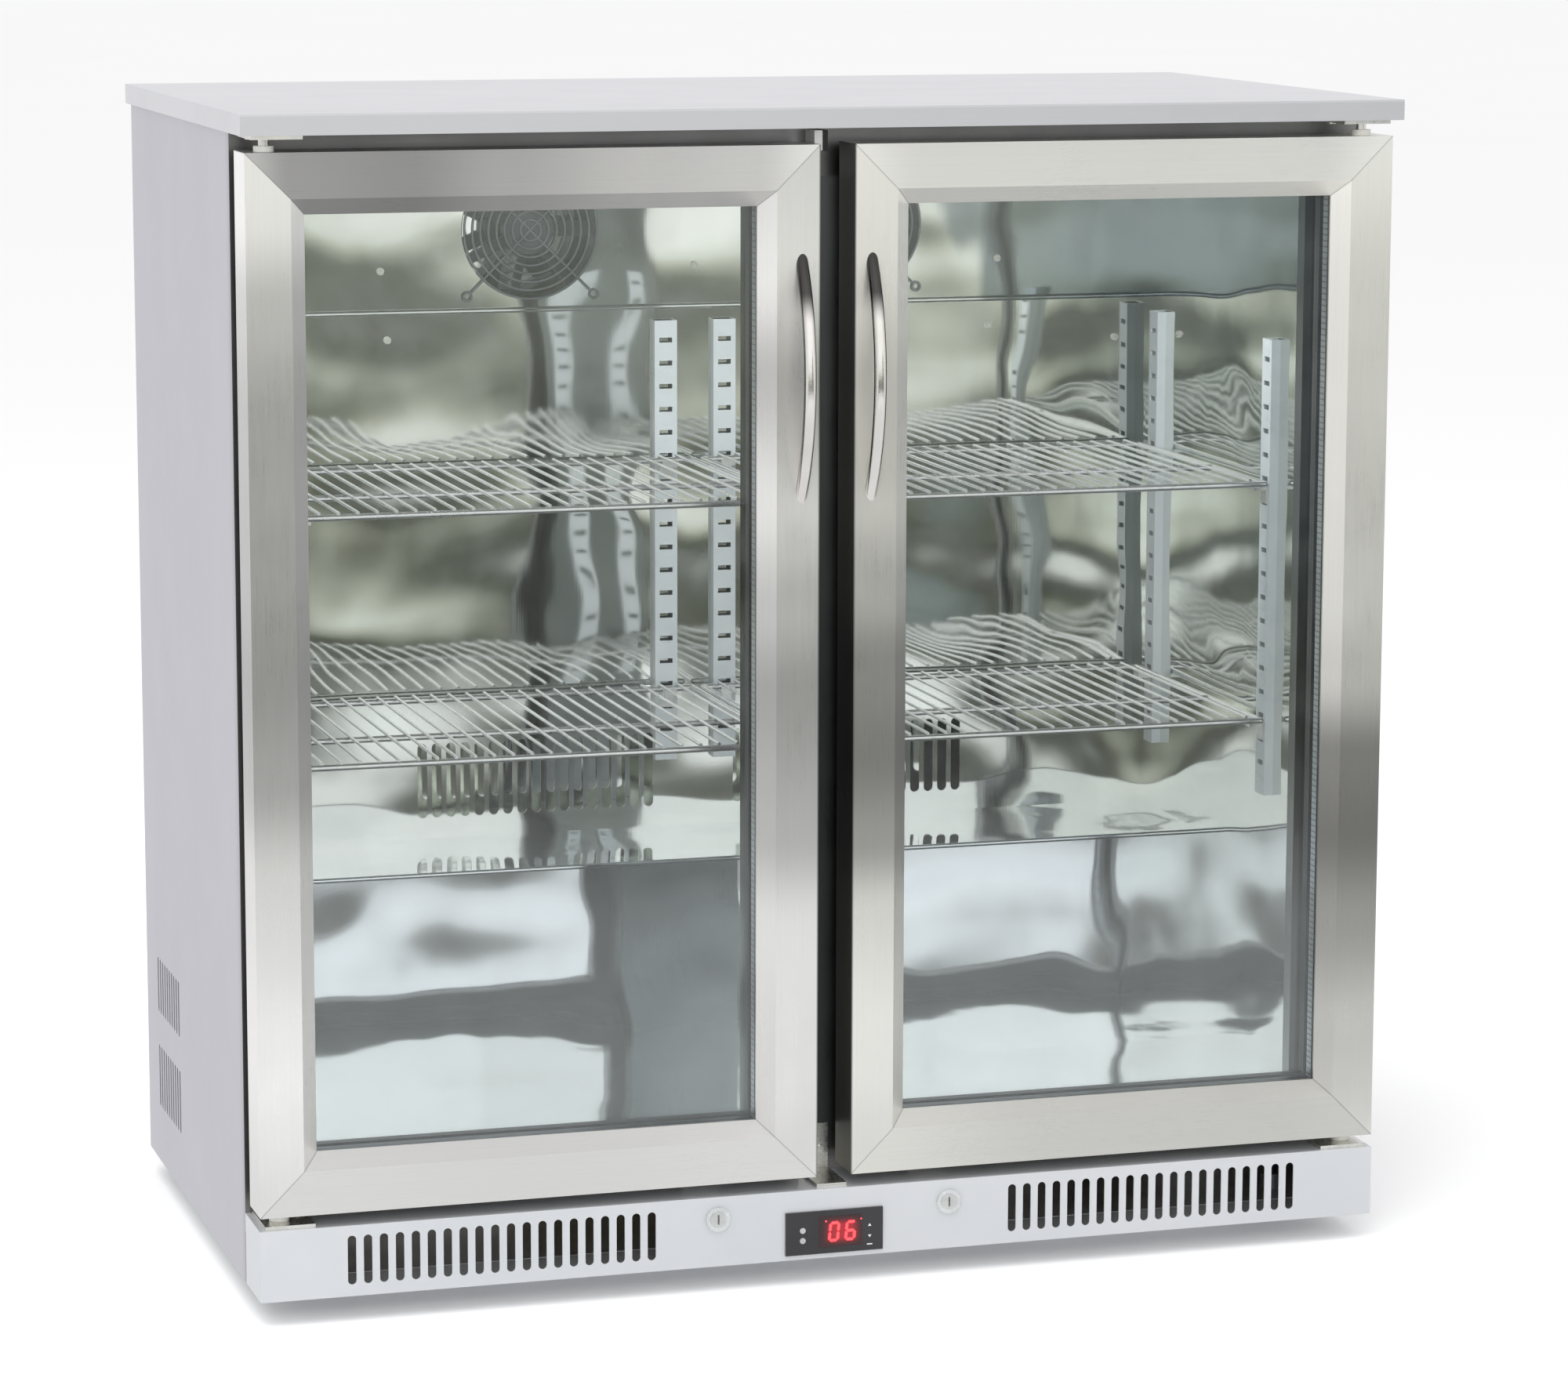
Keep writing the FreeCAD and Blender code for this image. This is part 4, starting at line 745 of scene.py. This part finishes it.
def studio_world():
    """White to the camera and to diffuse light; only reflections see the room."""
    scene.world = bpy.data.worlds.new("studio")
    w = Graph(scene.world, "ShaderNodeOutputWorld")
    x, y, z = w.sep(w.node("ShaderNodeTexCoord").outputs["Generated"])
    stops = [((k - ROOM_LOW) / ROOM_HEIGHT, color) for k, color in ROOM]
    room = w.ramp(w.span(z, over=(ROOM_LOW, 0.10)), stops, "LINEAR")
    front = w.span(w.times(y, -1.0), over=(0.45, 0.8), smooth=True)
    azimuth = w.math("ARCTAN2", x, w.times(y, -1.0))
    # A dark patch, right of straight ahead
    patch = w.times(w.span(azimuth, over=(0.335, 0.365), smooth=True),
                    w.span(azimuth, over=(0.60, 0.75), to=(1.0, 0.0), smooth=True),
                    w.span(z, over=(-0.17, -0.12), smooth=True),
                    w.span(z, over=(0.05, 0.12), to=(1.0, 0.0), smooth=True))
    room = w.mix(w.times(patch, 0.9), room, high=(0.20, 0.235, 0.25))
    seen = w.mix(front, (0.93, 0.93, 0.95), room)
    rays = w.node("ShaderNodeLightPath").outputs
    for kind in ("Is Diffuse Ray", "Is Camera Ray"):
        seen = w.mix(rays[kind], seen, high=(1.0, 1.0, 1.0))
    background = w.node("ShaderNodeBackground")
    w.put(background.inputs["Color"], seen)
    background.inputs["Strength"].default_value = 1.0
    w.done(background.outputs[0])


floor()
studio_world()


# ------------------------------------------------------------------ lights and camera
def area(name, place, aim, size, power):
    light = bpy.data.lights.new(name, "AREA")
    light.shape = "RECTANGLE"
    light.size, light.size_y = size
    light.energy = power
    made = bpy.data.objects.new(name, light)
    scene.collection.objects.link(made)
    made.location = place
    made.rotation_euler = (Vector(aim) - Vector(place)).to_track_quat("-Z", "Y").to_euler()
    made.visible_camera = False
    made.visible_glossy = False


area("key_top", place=(-1.0, -1.2, 3.4), aim=(0, 0, 0.3), size=(3.2, 3.2), power=70.0)
area("fill_front", place=(-1.6, -4.2, 1.8), aim=(0, 0, 0.45), size=(2.4, 2.0), power=60.0)
for side, x in (("left", -0.22), ("right", 0.22)):
    area("bay_fill_" + side, place=(x, -0.130, 0.835), aim=(x, 0.10, 0.30), size=(0.30, 0.03),
         power=0.75)
area("bay_fill_rear", place=(0.0, 0.10, 0.50), aim=(0.0, -0.2, 0.50), size=(0.60, 0.60), power=1.4)


def add_camera(place, yaw, pitch, roll):
    """Yaw turns from +Y towards +X, pitch looks down, roll is about the view axis; degrees."""
    data = bpy.data.cameras.new("camera")
    data.sensor_width = 36.0
    data.lens = 115.382592
    data.clip_end = 200.0
    camera = bpy.data.objects.new("camera", data)
    scene.collection.objects.link(camera)
    yaw, pitch, roll = (math.radians(angle) for angle in (yaw, pitch, roll))
    ahead = Vector((math.sin(yaw), math.cos(yaw), 0.0))
    right = Vector((math.cos(yaw), -math.sin(yaw), 0.0))
    up = Vector((0, 0, 1.0))
    look = ahead * math.cos(pitch) - up * math.sin(pitch)
    rise = up * math.cos(pitch) + ahead * math.sin(pitch)
    camera_x = right * math.cos(roll) + rise * math.sin(roll)
    camera_y = rise * math.cos(roll) - right * math.sin(roll)
    rows = [(camera_x[i], camera_y[i], -look[i], place[i]) for i in range(3)]
    camera.matrix_world = Matrix(rows + [(0, 0, 0, 1)])
    scene.camera = camera


add_camera(place=(-1.1200, -3.7908, 1.0872), yaw=16.832, pitch=9.462, roll=0.134)

scene.view_settings.view_transform = "Standard"
scene.view_settings.look = "None"
scene.cycles.max_bounces = 14
scene.cycles.diffuse_bounces = 3
scene.cycles.glossy_bounces = 8
scene.cycles.transmission_bounces = 6
scene.cycles.transparent_max_bounces = 24
scene.cycles.blur_glossy = 0.6
scene.cycles.sample_clamp_indirect = 8.0
